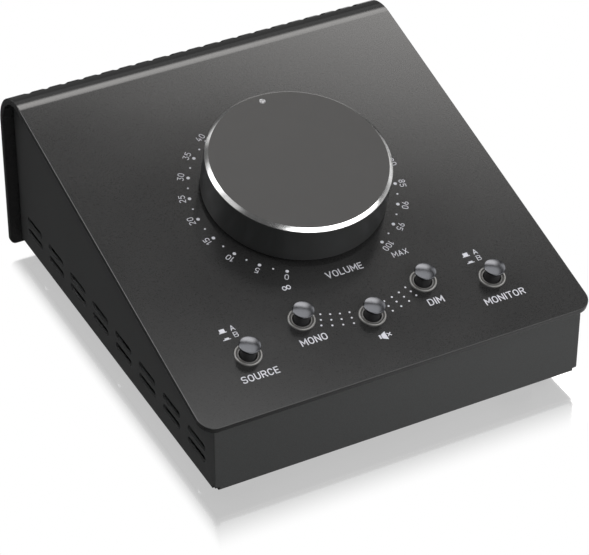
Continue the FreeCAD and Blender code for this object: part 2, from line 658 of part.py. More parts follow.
def cover_studs():
    """Weld studs under the panel."""
    studs = [post(STUD_RADIUS, u, v, -COVER_SHEET - STUD_LENGTH, -COVER_SHEET) for u, v in stud_places()]
    return on_panel(Part.makeCompound(studs))


def cover_nuts():
    """Nuts that hold the shell's upper flanges on the studs."""
    top = -COVER_SHEET - SEAM - SHELL_SHEET
    nuts = []
    for u, v in stud_places():
        nut = hexagon(NUT_FLATS, u, v, top - NUT_HEIGHT, top)
        nuts.append(nut.cut(post(STUD_RADIUS + THREAD_FIT, u, v, top - NUT_HEIGHT, top)))
    return on_panel(Part.makeCompound(nuts))


# ---------------------------------------------------------------- volume control
def knob_shell():
    """Turned knob with a bright chamfer and a pointer dimple at its top."""
    shoulder = KNOB_HEIGHT - KNOB_CHAMFER_DROP
    profile = [(KNOB_FOOT_RADIUS, KNOB_LIFT), (KNOB_RADIUS, shoulder),
               (KNOB_RADIUS - KNOB_CHAMFER, KNOB_HEIGHT), (0, KNOB_HEIGHT), (0, HUB_TOP),
               (KNOB_RADIUS - KNOB_WALL, HUB_TOP), (KNOB_FOOT_RADIUS - KNOB_WALL, KNOB_LIFT)]
    ball = (POINTER_RADIUS ** 2 + POINTER_DEPTH ** 2) / (2 * POINTER_DEPTH)
    offset = KNOB_RADIUS - KNOB_CHAMFER - POINTER_INSET
    dimple = Part.makeSphere(ball, Vector(0, offset, KNOB_HEIGHT + ball - POINTER_DEPTH))
    return on_panel(turned(profile).cut(dimple))


def shaft_section(radius, flat, z0, z1):
    """Round bar with one flat towards -v."""
    bar = post(radius, 0, 0, z0, z1)
    return bar.cut(block(-radius, radius, -2 * radius, -flat, z0, z1))


def knob_hub():
    """Moulded hub inside the knob: plate, ribs and a boss with a D bore."""
    plate_low = HUB_TOP - HUB_PLATE
    rim = KNOB_RADIUS - KNOB_WALL - KNOB_TAPER * HUB_PLATE / (HUB_TOP - KNOB_LIFT) - SHAFT_FIT
    hub = post(rim, 0, 0, plate_low, HUB_TOP).fuse(post(HUB_RADIUS, 0, 0, HUB_BOTTOM, HUB_TOP))
    for index in range(HUB_RIBS):
        rib = block(0, rim - HUB_RIB_INSET, -HUB_RIB_WIDTH / 2, HUB_RIB_WIDTH / 2,
                    plate_low - HUB_RIB_HEIGHT, plate_low)
        rib.rotate(Vector(0, 0, 0), Vector(0, 0, 1), index * 360 / HUB_RIBS)
        hub = hub.fuse(rib)
    bore = shaft_section(SHAFT_RADIUS + SHAFT_FIT, SHAFT_FLAT + SHAFT_FIT, HUB_BOTTOM, HUB_TOP)
    return on_panel(hub.cut(bore))


def pot_shaft():
    """D shaft with the rotor and its wiper inside the potentiometer."""
    flange_low = -COVER_SHEET - POT_FRONT - BUSH_FLANGE_HEIGHT
    rotor_top = flange_low - ROTOR_DROP
    rotor_low = rotor_top - ROTOR_HEIGHT
    end = HUB_TOP - SHAFT_END_GAP
    track = BOARD_TOP + POT_FLOOR + ELEMENT_HEIGHT + ELEMENT_GAP
    shaft = post(SHAFT_RADIUS, 0, 0, rotor_low, HUB_BOTTOM)
    shaft = shaft.fuse(shaft_section(SHAFT_RADIUS, SHAFT_FLAT, HUB_BOTTOM, end))
    shaft = shaft.fuse(post(ROTOR_RADIUS, 0, 0, rotor_low, rotor_top))
    half = WIPER_SIZE / 2
    offset = ROTOR_RADIUS - WIPER_INSET
    wiper = block(-half, half, offset - half, offset + half, track, rotor_low)
    return on_panel(shaft.fuse(wiper))


def pot_bush():
    """Threaded bush that the shaft turns in, with its flange behind the case's front."""
    front_low = -COVER_SHEET - POT_FRONT
    bush = post(BUSH_RADIUS, 0, 0, front_low, BUSH_HEIGHT)
    bush = bush.fuse(post(BUSH_RADIUS + BUSH_FLANGE, 0, 0, front_low - BUSH_FLANGE_HEIGHT, front_low))
    bore = post(SHAFT_RADIUS + SHAFT_FIT, 0, 0, front_low - BUSH_FLANGE_HEIGHT, BUSH_HEIGHT)
    return on_panel(bush.cut(bore))


def pot_case():
    """Square case under the panel, standing on the main board."""
    half = POT_SIZE / 2
    front_low = -COVER_SHEET - POT_FRONT
    case = block(-half, half, -half, half, BOARD_TOP, -COVER_SHEET)
    case = case.cut(post(POT_BORE, 0, 0, BOARD_TOP + POT_FLOOR, front_low))
    return on_panel(case.cut(post(BUSH_RADIUS + THREAD_FIT, 0, 0, front_low, -COVER_SHEET)))


def pot_element():
    """Resistance track disc on the floor of the case."""
    floor = BOARD_TOP + POT_FLOOR
    return on_panel(post(POT_BORE - SHAFT_FIT, 0, 0, floor, floor + ELEMENT_HEIGHT))


def board_pins():
    """Solder pins of the potentiometer and the switches, through the main board."""
    return on_panel(Part.makeCompound([post(PIN_RADIUS, u, v, PIN_LOW, BOARD_TOP) for u, v in pin_places()]))


def pot_washer():
    """Washer on the panel under the nut."""
    outer = BUSH_RADIUS + POT_WASHER_RIM
    return on_panel(ring(outer, BUSH_RADIUS + THREAD_FIT, 0, 0, 0, POT_WASHER_HEIGHT))


def pot_nut():
    """Hexagon nut on the bush, hidden by the knob."""
    top = POT_WASHER_HEIGHT + POT_NUT_HEIGHT
    nut = hexagon(2 * (BUSH_RADIUS + POT_NUT_WALL), 0, 0, POT_WASHER_HEIGHT, top)
    return on_panel(nut.cut(post(BUSH_RADIUS + THREAD_FIT, 0, 0, POT_WASHER_HEIGHT, top)))


# ---------------------------------------------------------------- push buttons
def button_cap(u, v):
    """Domed cap on a narrower stem, hollow for the plunger."""
    top = CAP_WIDEST + CAP_DOME
    dome = (CAP_RADIUS ** 2 + CAP_DOME ** 2) / (2 * CAP_DOME)
    head = turned([(0, CAP_NECK), (CAP_STEM_RADIUS, CAP_NECK), (CAP_RADIUS, CAP_WIDEST - CAP_EDGE),
                   (CAP_RADIUS, top), (0, top)], u, v)
    ball = Part.makeSphere(dome, Vector(u, v, top - dome))
    cap = head.common(ball).fuse(post(CAP_STEM_RADIUS, u, v, CAP_STEM_LOW, CAP_NECK))
    return on_panel(cap.cut(post(PLUNGER_RADIUS + THREAD_FIT, u, v, CAP_STEM_LOW, CAP_NECK - CAP_ROOF)))


def button_plunger(u, v):
    """Plunger from the cap down into the switch, with the flange that the spring pushes."""
    end = SWITCH_FLOOR + BUTTON_TRAVEL + PLUNGER_END_GAP
    top = CAP_NECK - CAP_ROOF
    flange = SWITCH_BORE - PLUNGER_FLANGE_GAP
    flange_top = PLUNGER_FLANGE_LOW + PLUNGER_FLANGE_HEIGHT
    profile = [(0, end), (PLUNGER_TAIL_RADIUS, end), (PLUNGER_TAIL_RADIUS, PLUNGER_FLANGE_LOW),
               (flange, PLUNGER_FLANGE_LOW), (flange, flange_top), (PLUNGER_RADIUS, flange_top),
               (PLUNGER_RADIUS, top), (0, top)]
    return on_panel(turned(profile, u, v))


def button_spring(u, v):
    """Compression spring between the switch's floor and the plunger's flange."""
    low = SWITCH_FLOOR + SPRING_GAP + SPRING_WIRE / 2
    high = PLUNGER_FLANGE_LOW - SPRING_GAP - SPRING_WIRE / 2
    helix = Part.makeLongHelix((high - low) / SPRING_COILS, high - low, SPRING_RADIUS)
    circle = Part.Circle(Vector(SPRING_RADIUS, 0, 0), Vector(0, 1, 0), SPRING_WIRE / 2).toShape()
    spring = Part.Wire(helix.Edges).makePipeShell([Part.Wire(circle)], True, True)
    spring.translate(Vector(u, v, low))
    return on_panel(spring)


def button_collar(u, v):
    """Ring with a raised rim, pressed into the panel."""
    bore = CAP_STEM_RADIUS + COLLAR_BORE_FIT
    step = (bore + COLLAR_RADIUS - COLLAR_RIM_WIDTH) / 2
    crown = COLLAR_RADIUS - COLLAR_RIM_WIDTH / 2
    rim_inner = COLLAR_RADIUS - COLLAR_RIM_WIDTH
    low = -COVER_SHEET - COLLAR_BARREL_BELOW
    profile = [(bore, low), (COLLAR_BARREL_RADIUS, low), (COLLAR_BARREL_RADIUS, 0), (COLLAR_RADIUS, 0),
               (COLLAR_RADIUS, COLLAR_RIM * 0.6), (crown, COLLAR_RIM), (rim_inner, COLLAR_RIM * 0.6),
               (rim_inner, COLLAR_FLOOR), (step, COLLAR_FLOOR), (step - COLLAR_FLOOR / 2, COLLAR_FLOOR * 1.5),
               (bore, COLLAR_FLOOR * 1.5)]
    return on_panel(turned(profile, u, v))


def switch_body(u, v):
    """Push switch on the main board with a bore for plunger and spring."""
    half = SWITCH_SIZE / 2
    body = block(u - half, u + half, v - half, v + half, BOARD_TOP, SWITCH_TOP)
    body = body.cut(post(SWITCH_BORE, u, v, SWITCH_FLOOR, SWITCH_ROOF))
    return on_panel(body.cut(post(PLUNGER_RADIUS + PLUNGER_FIT, u, v, SWITCH_ROOF, SWITCH_TOP)))


# ---------------------------------------------------------------- boards
def resistor_reach():
    """Distance of a resistor's lead from its middle."""
    return RESISTOR_LENGTH / 2 + RESISTOR_LEAD


def resistor_places():
    """Middles of the attenuator resistors, in panel coordinates."""
    row = -POT_SIZE / 2 - RESISTOR_POT_GAP - resistor_reach()
    return [((index - (RESISTOR_COUNT - 1) / 2) * RESISTOR_PITCH, row) for index in range(RESISTOR_COUNT)]


def main_board():
    """Circuit board parallel to the panel."""
    board = block(-BOARD_HALF, BOARD_HALF, BOARD_FRONT_V, BOARD_REAR_V, BOARD_LOW, BOARD_TOP)
    holes = [post(SCREW_RADIUS + HOLE_FIT, u, v, BOARD_LOW, BOARD_TOP) for u, v in standoff_places()]
    leads = [(u, v + side * resistor_reach()) for u, v in resistor_places() for side in (-1, 1)]
    holes += [post(PIN_RADIUS + PIN_FIT, u, v, BOARD_LOW, BOARD_TOP) for u, v in pin_places() + leads]
    return on_panel(board.cut(holes))


def board_standoffs():
    """Hexagon standoffs between the panel and the main board."""
    bore = BOARD_SCREW_LENGTH - BOARD_SHEET + STANDOFF_BORE_SPARE
    items = []
    for u, v in standoff_places():
        item = hexagon(STANDOFF_FLATS, u, v, BOARD_TOP, -COVER_SHEET)
        items.append(item.cut(post(SCREW_RADIUS + THREAD_FIT, u, v, BOARD_TOP, BOARD_TOP + bore)))
    return on_panel(Part.makeCompound(items))


def board_screws():
    """Screws from below the main board into the standoffs."""
    items = []
    for u, v in standoff_places():
        item = screw(BOARD_SCREW_LENGTH)
        turn = FreeCAD.Rotation(Vector(1, 0, 0), 180)
        item.Placement = FreeCAD.Placement(Vector(u, v, BOARD_LOW), turn)
        items.append(item)
    return on_panel(Part.makeCompound(items))


def dim_resistors():
    """Axial resistors of the dim attenuator, lying on the main board."""
    items = []
    height = BOARD_TOP + RESISTOR_RADIUS
    half = Vector(0, RESISTOR_LENGTH / 2, 0)
    reach = Vector(0, resistor_reach(), 0)
    for u, v in resistor_places():
        middle = Vector(u, v, height)
        item = rod(RESISTOR_RADIUS, middle - half, middle + half)
        item = item.fuse(rod(PIN_RADIUS, middle - reach, middle + reach))
        for end in (v - reach.y, v + reach.y):
            item = item.fuse(post(PIN_RADIUS, u, end, PIN_LOW, height))
        items.append(item)
    return on_panel(Part.makeCompound(items))


# ---------------------------------------------------------------- rear sockets
def jack_socket(x, z):
    """Jack socket: body in front of the upright, threaded bush out of the flap, one stepped bore."""
    half_x = JACK_BODY_WIDTH / 2
    half_z = JACK_BODY_HEIGHT / 2
    body = block(x - half_x, x + half_x, JACK_BACK_Y, UPRIGHT_FRONT_Y, z - half_z, z + half_z)
    bush = rod(JACK_BUSH_RADIUS, Vector(x, UPRIGHT_FRONT_Y, z), Vector(x, JACK_TIP_Y, z))
    mouth = JACK_TIP_Y - JACK_MOUTH_CHAMFER
    chamber = JACK_BORE + JACK_CONTACT_ROOM
    bore = lathe_y([(0, JACK_CHAMBER_BACK), (chamber, JACK_CHAMBER_BACK), (chamber, JACK_CHAMBER_FRONT),
                    (JACK_BORE, JACK_CHAMBER_FRONT), (JACK_BORE, mouth),
                    (JACK_BORE + JACK_MOUTH_CHAMFER, JACK_TIP_Y), (0, JACK_TIP_Y)], x, z)
    pins = [rod(PIN_RADIUS + PIN_FIT, Vector(px, JACK_BACK_Y, pz), Vector(px, JACK_CHAMBER_BACK, pz))
            for px, pz in contact_places(x, z)]
    return body.fuse(bush).cut([bore] + pins)


def contact_radius():
    """Distance of a contact's pin from the socket's axis."""
    return JACK_BORE + CONTACT_GAP + PIN_RADIUS


def contact_places(x, z):
    """Pins of the three contacts of one socket: above, left and right."""
    reach = contact_radius()
    return [(x, z + reach), (x - reach, z), (x + reach, z)]


def jack_contacts():
    """Contact strips inside the sockets, with pins through the jack board."""
    items = []
    low = JACK_BORE + CONTACT_GAP
    high = low + CONTACT_THICKNESS
    half = CONTACT_WIDTH / 2
    start = JACK_CHAMBER_BACK
    pin_end = JACK_BOARD_FACE - PIN_BELOW_BOARD
    tip, left, right = (JACK_CHAMBER_FRONT - gap for gap in CONTACT_FRONT_GAPS)
    for x, z in jack_places().values():
        strips = [block(x - half, x + half, start, tip, z + low, z + high),
                  block(x - high, x - low, start, left, z - half, z + half),
                  block(x + low, x + high, start, right, z - half, z + half)]
        for strip, (px, pz) in zip(strips, contact_places(x, z)):
            pin = rod(PIN_RADIUS, Vector(px, pin_end, pz), Vector(px, start + PIN_RADIUS, pz))
            items.append(strip.fuse(pin))
    return Part.makeCompound(items)


def jack_washers():
    """Washers on the flap under the socket nuts."""
    height = REAR_Y + JACK_WASHER_HEIGHT
    inner = JACK_BUSH_RADIUS + THREAD_FIT
    outer = JACK_BUSH_RADIUS + JACK_WASHER_RIM
    items = [lathe_y([(inner, REAR_Y), (outer, REAR_Y), (outer, height), (inner, height)], x, z)
             for x, z in jack_places().values()]
    return Part.makeCompound(items)


def jack_nuts():
    """Hexagon nuts on the socket bushes."""
    items = []
    low = REAR_Y + JACK_WASHER_HEIGHT
    flats = 2 * (JACK_BUSH_RADIUS + JACK_NUT_WALL)
    for x, z in jack_places().values():
        nut = hexagon(flats, 0, 0, low, low + JACK_NUT_HEIGHT)
        nut = nut.cut(post(JACK_BUSH_RADIUS + THREAD_FIT, 0, 0, low, low + JACK_NUT_HEIGHT))
        items.append(out_of_flap(nut, x, z))
    return Part.makeCompound(items)


def jack_board():
    """Upright circuit board behind the sockets."""
    places = list(jack_places().values())
    half = max(x for x, _ in places) + JACK_BODY_WIDTH / 2 + JACK_BOARD_MARGIN
    low = min(z for _, z in places) - JACK_BODY_HEIGHT / 2
    high = max(z for _, z in places) + JACK_BODY_HEIGHT / 2
    board = block(-half, half, JACK_BOARD_FACE, JACK_BACK_Y, low, high)
    pins = [point for x, z in places for point in contact_places(x, z)]
    holes = [rod(PIN_RADIUS + PIN_FIT, Vector(x, JACK_BOARD_FACE, z), Vector(x, JACK_BACK_Y, z))
             for x, z in pins]
    return board.cut(holes)


def upper_header_point():
    """Middle of the upper header's lower face, in the part's frame."""
    return PANEL.multVec(Vector(0, BOARD_REAR_V - HEADER_EDGE, BOARD_LOW - HEADER_HEIGHT))


def lower_header_z():
    """Height of the lower header's middle."""
    return upper_header_point().z - RIBBON_DROP


def ribbon_x():
    """Middle of the ribbon and its headers, between the last two columns of sockets."""
    columns = sorted({x for x, _ in jack_places().values()})
    return (columns[-1] + columns[-2]) / 2


def ribbon_headers():
    """Header under the main board and header on the jack board."""
    left = ribbon_x() - HEADER_LENGTH / 2
    right = left + HEADER_LENGTH
    side = HEADER_WIDTH / 2
    middle = BOARD_REAR_V - HEADER_EDGE
    upper = on_panel(block(left, right, middle - side, middle + side, BOARD_LOW - HEADER_HEIGHT, BOARD_LOW))
    z = lower_header_z()
    lower = block(left, right, JACK_BOARD_FACE - HEADER_HEIGHT, JACK_BOARD_FACE, z - side, z + side)
    return Part.makeCompound([upper, lower])


def ribbon_cable():
    """Flat cable from the upper header down and back to the jack board's header."""
    start = upper_header_point()
    end_y = JACK_BOARD_FACE - HEADER_HEIGHT
    z = lower_header_z()
    down = Vector(0, math.sin(SLOPE), -math.cos(SLOPE))
    corner = start + down * ((start.z - z) / math.cos(SLOPE))
    turn = math.pi / 2 - SLOPE
    back = RIBBON_BEND * math.tan(turn / 2)
    arc_start = corner - down * back
    side = Vector(0, math.cos(SLOPE), math.sin(SLOPE))
    center = arc_start + side * RIBBON_BEND
    half = RIBBON_SHEET / 2
    begin = math.atan2(arc_start.z - center.z, arc_start.y - center.y)
    final = -math.pi / 2
    inner, outer = RIBBON_BEND - half, RIBBON_BEND + half
    starts = [start + side * half, start - side * half]
    edges = [Part.LineSegment(starts[0], arc_start + side * half).toShape(),
             arc_edge(center.y, center.z, inner, begin + 2 * math.pi, final + 2 * math.pi),
             polyline([(center.y, z + half), (end_y, z + half), (end_y, z - half), (center.y, z - half)]),
             arc_edge(center.y, center.z, outer, final + 2 * math.pi, begin + 2 * math.pi),
             Part.LineSegment(arc_start - side * half, starts[1]).toShape(),
             Part.LineSegment(starts[1], starts[0]).toShape()]
    flat = edges[:2] + edges[2] + edges[3:]
    ribbon = across(Part.Face(Part.Wire(Part.__sortEdges__(flat))), RIBBON_WIDTH / 2)
    ribbon.translate(Vector(ribbon_x(), 0, 0))
    return ribbon


# ---------------------------------------------------------------- assembly
def nodes():
    """Every sub-part by its node's name."""
    parts = {
        "top_cover": top_cover(),
        "body_shell": body_shell(),
        "base_tray": base_tray(),
        "rubber_feet": rubber_feet(),
        "base_screws": base_screws(),
        "rear_screws": rear_screws(),
        "cover_studs": cover_studs(),
        "cover_nuts": cover_nuts(),
        "knob_shell": knob_shell(),
        "knob_hub": knob_hub(),
        "pot_shaft": pot_shaft(),
        "pot_bush": pot_bush(),
        "pot_case": pot_case(),
        "pot_element": pot_element(),
        "pot_washer": pot_washer(),
        "pot_nut": pot_nut(),
        "board_pins": board_pins(),
        "main_board": main_board(),
        "board_standoffs": board_standoffs(),
        "board_screws": board_screws(),
        "dim_resistors": dim_resistors(),
        "jack_contacts": jack_contacts(),
        "jack_washers": jack_washers(),
        "jack_nuts": jack_nuts(),
        "jack_board": jack_board(),
        "ribbon_headers": ribbon_headers(),
        "ribbon_cable": ribbon_cable(),
    }
    for name, (u, v) in BUTTONS.items():
        parts["button_cap_" + name] = button_cap(u, v)
        parts["button_plunger_" + name] = button_plunger(u, v)
        parts["button_spring_" + name] = button_spring(u, v)
        parts["button_collar_" + name] = button_collar(u, v)
        parts["switch_body_" + name] = switch_body(u, v)
    for name, (x, z) in jack_places().items():
        parts["jack_" + name] = jack_socket(x, z)
    return parts


def main():
    """Write one STEP file per node."""
    os.makedirs("parts", exist_ok=True)
    for name, shape in nodes().items():
        shape.exportStep(os.path.join("parts", name + ".step"))
        valid = shape.isValid() and all(solid.isClosed() for solid in shape.Solids)
        print(f"{name:24s} solids {len(shape.Solids):3d} volume {shape.Volume:10.1f} valid {valid}")


main()
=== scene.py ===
"""Dressed model of a desktop studio monitor controller.

Sizes are in millimetres and degrees. Panel coordinates run u to the right, v up the slope and w out
of the panel, with zero at the dial's centre on the panel's face.
"""
from __future__ import annotations

import json
import logging
import math
from dataclasses import dataclass, field
from enum import Enum
from functools import cached_property
from typing import Callable, Iterable, Sequence, Union

import bmesh
import bpy
from mathutils import Matrix, Vector

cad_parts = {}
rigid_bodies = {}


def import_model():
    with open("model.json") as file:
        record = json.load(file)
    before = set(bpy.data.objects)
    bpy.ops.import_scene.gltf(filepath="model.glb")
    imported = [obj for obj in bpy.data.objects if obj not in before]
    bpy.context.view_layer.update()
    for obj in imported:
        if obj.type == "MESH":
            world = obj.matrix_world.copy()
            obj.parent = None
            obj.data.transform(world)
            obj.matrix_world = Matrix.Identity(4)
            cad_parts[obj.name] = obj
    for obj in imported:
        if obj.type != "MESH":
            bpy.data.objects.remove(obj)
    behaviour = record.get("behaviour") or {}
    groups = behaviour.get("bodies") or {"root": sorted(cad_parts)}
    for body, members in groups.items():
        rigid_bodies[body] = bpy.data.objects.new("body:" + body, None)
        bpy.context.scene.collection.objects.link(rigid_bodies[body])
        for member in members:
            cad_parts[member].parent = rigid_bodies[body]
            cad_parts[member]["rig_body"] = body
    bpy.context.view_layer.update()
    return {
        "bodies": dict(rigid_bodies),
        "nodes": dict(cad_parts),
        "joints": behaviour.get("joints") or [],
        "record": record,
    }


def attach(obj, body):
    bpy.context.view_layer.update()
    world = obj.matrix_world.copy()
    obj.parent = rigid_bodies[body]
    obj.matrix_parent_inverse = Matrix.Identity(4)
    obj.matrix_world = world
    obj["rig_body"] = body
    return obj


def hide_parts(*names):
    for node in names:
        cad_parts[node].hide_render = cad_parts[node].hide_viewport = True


LOG = logging.getLogger("controller")
MM = 0.001
SLOPE = 15.0
FULL_TURN = 2 * math.pi
DIAL_PLACE = Vector((0.0, -4.19537, 49.37826))
TABLE = Matrix.Scale(MM, 4)
PANEL = TABLE @ Matrix.Translation(DIAL_PLACE) @ Matrix.Rotation(math.radians(SLOPE), 4, "X")
FINE_STEPS = 64
HOLE_STEPS = 32

Colour = tuple[float, float, float]
Feed = Union["Value", float, int, Sequence[float]]


def sign(operation: str, swapped: bool = False) -> Callable[[Value, Feed], Value]:
    """Operator of a value that adds one Math node.

    Args:
        operation: The Math node's operation.
        swapped: Whether the value stands on the right.

    Returns:
        The operator.
    """
    def run(value: Value, other: Feed) -> Value:
        """Result of the operation."""
        return value.graph.maths(operation, *((other, value) if swapped else (value, other)))

    return run


class Value:
    """A socket of a material that takes part in plain arithmetic."""

    __add__ = sign("ADD")
    __radd__ = sign("ADD", swapped=True)
    __sub__ = sign("SUBTRACT")
    __rsub__ = sign("SUBTRACT", swapped=True)
    __mul__ = sign("MULTIPLY")
    __rmul__ = sign("MULTIPLY", swapped=True)
    __truediv__ = sign("DIVIDE")
    __pow__ = sign("POWER")

    def __init__(self, graph: Graph, socket: bpy.types.NodeSocket) -> None:
        """Keep the socket with the graph it belongs to."""
        self.graph = graph
        self.socket = socket

    def __abs__(self) -> Value:
        """Size without its sign."""
        return self.graph.maths("ABSOLUTE", self)


class Graph:
    """The node tree of one material or of the world."""

    def __init__(self, tree: bpy.types.NodeTree) -> None:
        """Empty the tree and keep it."""
        self.tree = tree
        self.tree.nodes.clear()

    def node(self, kind: str, settings: dict | None = None, feeds: dict | None = None,
             output: int | str = 0) -> Value:
        """Add a node.

        Args:
            kind: Type name of the node.
            settings: Properties of the node.
            feeds: Values or links by socket name or number.
            output: Which output to return.

        Returns:
            The chosen output.
        """
        made = self.tree.nodes.new(kind)
        for name, setting in (settings or {}).items():
            setattr(made, name, setting)
        for name, feed in (feeds or {}).items():
            if isinstance(feed, Value):
                self.tree.links.new(feed.socket, made.inputs[name])
            else:
                made.inputs[name].default_value = feed
        return Value(self, made.outputs[output] if len(made.outputs) else None)

    def place(self, turned: bool = False) -> Value:
        """Coordinates on the piece, in millimetres.

        Args:
            turned: Whether they are panel coordinates.

        Returns:
            The coordinates as a vector.
        """
        raw = self.node("ShaderNodeTexCoord", output="Object")
        angle = math.radians(SLOPE) if turned else 0.0
        origin = DIAL_PLACE * MM if turned else Vector((0.0, 0.0, 0.0))
        return self.node("ShaderNodeMapping", {"vector_type": "TEXTURE"},
                         {"Vector": raw, "Location": origin, "Rotation": (angle, 0.0, 0.0),
                          "Scale": (MM, MM, MM)})

    def maths(self, operation: str, *operands: Feed) -> Value:
        """Result of one Math node."""
        return self.node("ShaderNodeMath", {"operation": operation}, dict(enumerate(operands)))

    def vector(self, operation: str, feeds: dict, output: str = "Vector") -> Value:
        """Result of one Vector Math node."""
        return self.node("ShaderNodeVectorMath", {"operation": operation}, feeds, output)

    def noise(self, place: Value, scale: float, detail: float = 2.0, rough: float = 0.5) -> Value:
        """Noise from 0 to 1 by its cells to the millimetre, octaves and share of the finer octaves."""
        return self.node("ShaderNodeTexNoise", {"noise_dimensions": "3D"},
                         {"Vector": place, "Scale": scale, "Detail": detail, "Roughness": rough})

    def span(self, value: Feed, low: float, high: float, start: float = 0.0, end: float = 1.0) -> Value:
        """Smooth step from the start below the low level to the end above the high one."""
        feeds = {"Value": value, "From Min": low, "From Max": high, "To Min": start, "To Max": end}
        return self.node("ShaderNodeMapRange", {"interpolation_type": "SMOOTHSTEP"}, feeds)

    def blend(self, factor: Feed, first: Feed, second: Feed) -> Value:
        """Mix two colours.

        Args:
            factor: Share of the second colour.
            first: First colour.
            second: Second colour.

        Returns:
            The mixed colour.
        """
        ends = [feed if isinstance(feed, Value) else (*feed, 1.0) for feed in (first, second)]
        return self.node("ShaderNodeMix", {"data_type": "RGBA"}, {0: factor, 6: ends[0], 7: ends[1]},
                         output=2)

    def split(self, place: Value) -> tuple[Value, ...]:
        """The three parts of a vector."""
        node = self.node("ShaderNodeSeparateXYZ", {}, {0: place}).socket.node
        return tuple(Value(self, socket) for socket in node.outputs)

    def gather(self, x: Feed, y: Feed, z: Feed) -> Value:
        """Vector from three numbers."""
        return self.node("ShaderNodeCombineXYZ", {}, {0: x, 1: y, 2: z})

    def bump(self, height: Value, strength: float, depth: float) -> Value:
        """Bent normal from a height of 0 to 1, how much of it shows, and its depth in millimetres."""
        return self.node("ShaderNodeBump", {}, {"Height": height, "Strength": strength,
                                                "Distance": depth * MM})

    def finish(self, colour: Feed, roughness: Feed, metallic: float = 0.0,
               normal: Value | None = None, **plain: float) -> None:
        """Close the material with its shader.

        Args:
            colour: Base colour.
            roughness: Roughness.
            metallic: Metallic share.
            normal: Bent normal.
            plain: Other sockets of the shader, by name with spaces as underscores.
        """
        feeds: dict = {"Roughness": roughness, "Metallic": metallic}
        feeds["Base Color"] = colour if isinstance(colour, Value) else (*colour, 1.0)
        if normal is not None:
            feeds["Normal"] = normal
        feeds.update({name.replace("_", " "): feed for name, feed in plain.items()})
        shader = self.node("ShaderNodeBsdfPrincipled", {}, feeds)
        self.node("ShaderNodeOutputMaterial", {}, {"Surface": shader})


# ------------------------------------------------------------------ finishes
def new_graph(name: str) -> tuple[bpy.types.Material, Graph]:
    """Start a material.

    Args:
        name: Its name.

    Returns:
        The material and its graph.
    """
    material = bpy.data.materials.new(name)
    material.use_nodes = True
    return material, Graph(material.node_tree)


def shaded(colour: Colour, share: float) -> Colour:
    """A share of a colour."""
    return tuple(part * share for part in colour)


class Coat:
    """What the finishes have in common: each fills the graph of a new material."""

    def build(self, name: str) -> bpy.types.Material:
        """Make the material.

        Args:
            name: Its name.

        Returns:
            The material.
        """
        material, graph = new_graph(name)
        self.fill(graph)
        return material

    def fill(self, graph: Graph) -> None:
        """Fill the graph, each finish in its own way."""
        raise NotImplementedError


@dataclass(frozen=True)
class Lacquer(Coat):
    """Satin lacquer on steel sheet, with the fine pebble of a sprayed coat."""

    colour: Colour
    roughness: float
    grain: float = 3.2
    relief: float = 0.012
    specular: float = 0.5
    patches: float = 0.03
    shift: float = 0.16
    patch_gloss: float = 0.06
    grain_gloss: float = 0.10

    def fill(self, graph: Graph) -> None:
        """Vary shade and gloss with the pebble and with broad patches.

        Args:
            graph: The material's graph.
        """
        place = graph.place()
        fine = graph.noise(place, self.grain, 3.0, 0.6)
        broad = graph.noise(place, self.patches)
        colour = graph.blend(graph.span(fine, 0.3, 0.7), shaded(self.colour, 1 - self.shift),
                             shaded(self.colour, 1 + self.shift))
        rough = self.roughness + (broad - 0.5) * self.patch_gloss + (fine - 0.5) * self.grain_gloss
        graph.finish(colour, rough, 0.0, graph.bump(fine, 0.35, self.relief),
                     Specular_IOR_Level=self.specular)


class Lay(Enum):
    """Direction of the tool marks in a metal."""

    TURNED = "round the dial's axis"
    FACED = "rings on the face"
    PLAIN = "no marks"


@dataclass(frozen=True)
class Metal(Coat):
    """Bare, plated or anodised metal with its tool marks."""

    colour: Colour
    roughness: float
    lay: Lay = Lay.PLAIN
    metallic: float = 1.0
    marks: float = 0.05
    relief: float = 0.004
    rings: float = 9.0
    streaks: float = 24.0
    streak_drift: float = 0.12
    specks: float = 1.6
    wear: float = 0.25
    dull: float = 0.9

    def _marks(self, graph: Graph) -> Value:
        """Tool marks from 0 to 1.

        Args:
            graph: The material's graph.

        Returns:
            The marks.
        """
        if self.lay is Lay.PLAIN:
            return graph.noise(graph.place(), self.specks, 3.0)
        u, v, w = graph.split(graph.place(turned=True))
        if self.lay is Lay.FACED:
            return graph.noise(graph.gather((u * u + v * v) ** 0.5 * self.rings, 0.0, 0.0), 1.0)
        angle = graph.maths("ARCTAN2", v, u)
        return graph.noise(graph.gather(angle * self.streaks, w * self.streak_drift, 0.0), 1.0, 3.0)

    def fill(self, graph: Graph) -> None:
        """Vary shade and gloss with the marks and with wear.

        Args:
            graph: The material's graph.
        """
        marks = self._marks(graph)
        wear = graph.noise(graph.place(), self.wear)
        colour = graph.blend(graph.span(marks, 0.25, 0.75), shaded(self.colour, self.dull), self.colour)
        rough = self.roughness + (marks - 0.5) * self.marks + (wear - 0.5) * self.marks
        graph.finish(colour, rough, self.metallic, graph.bump(marks, 0.3, self.relief))


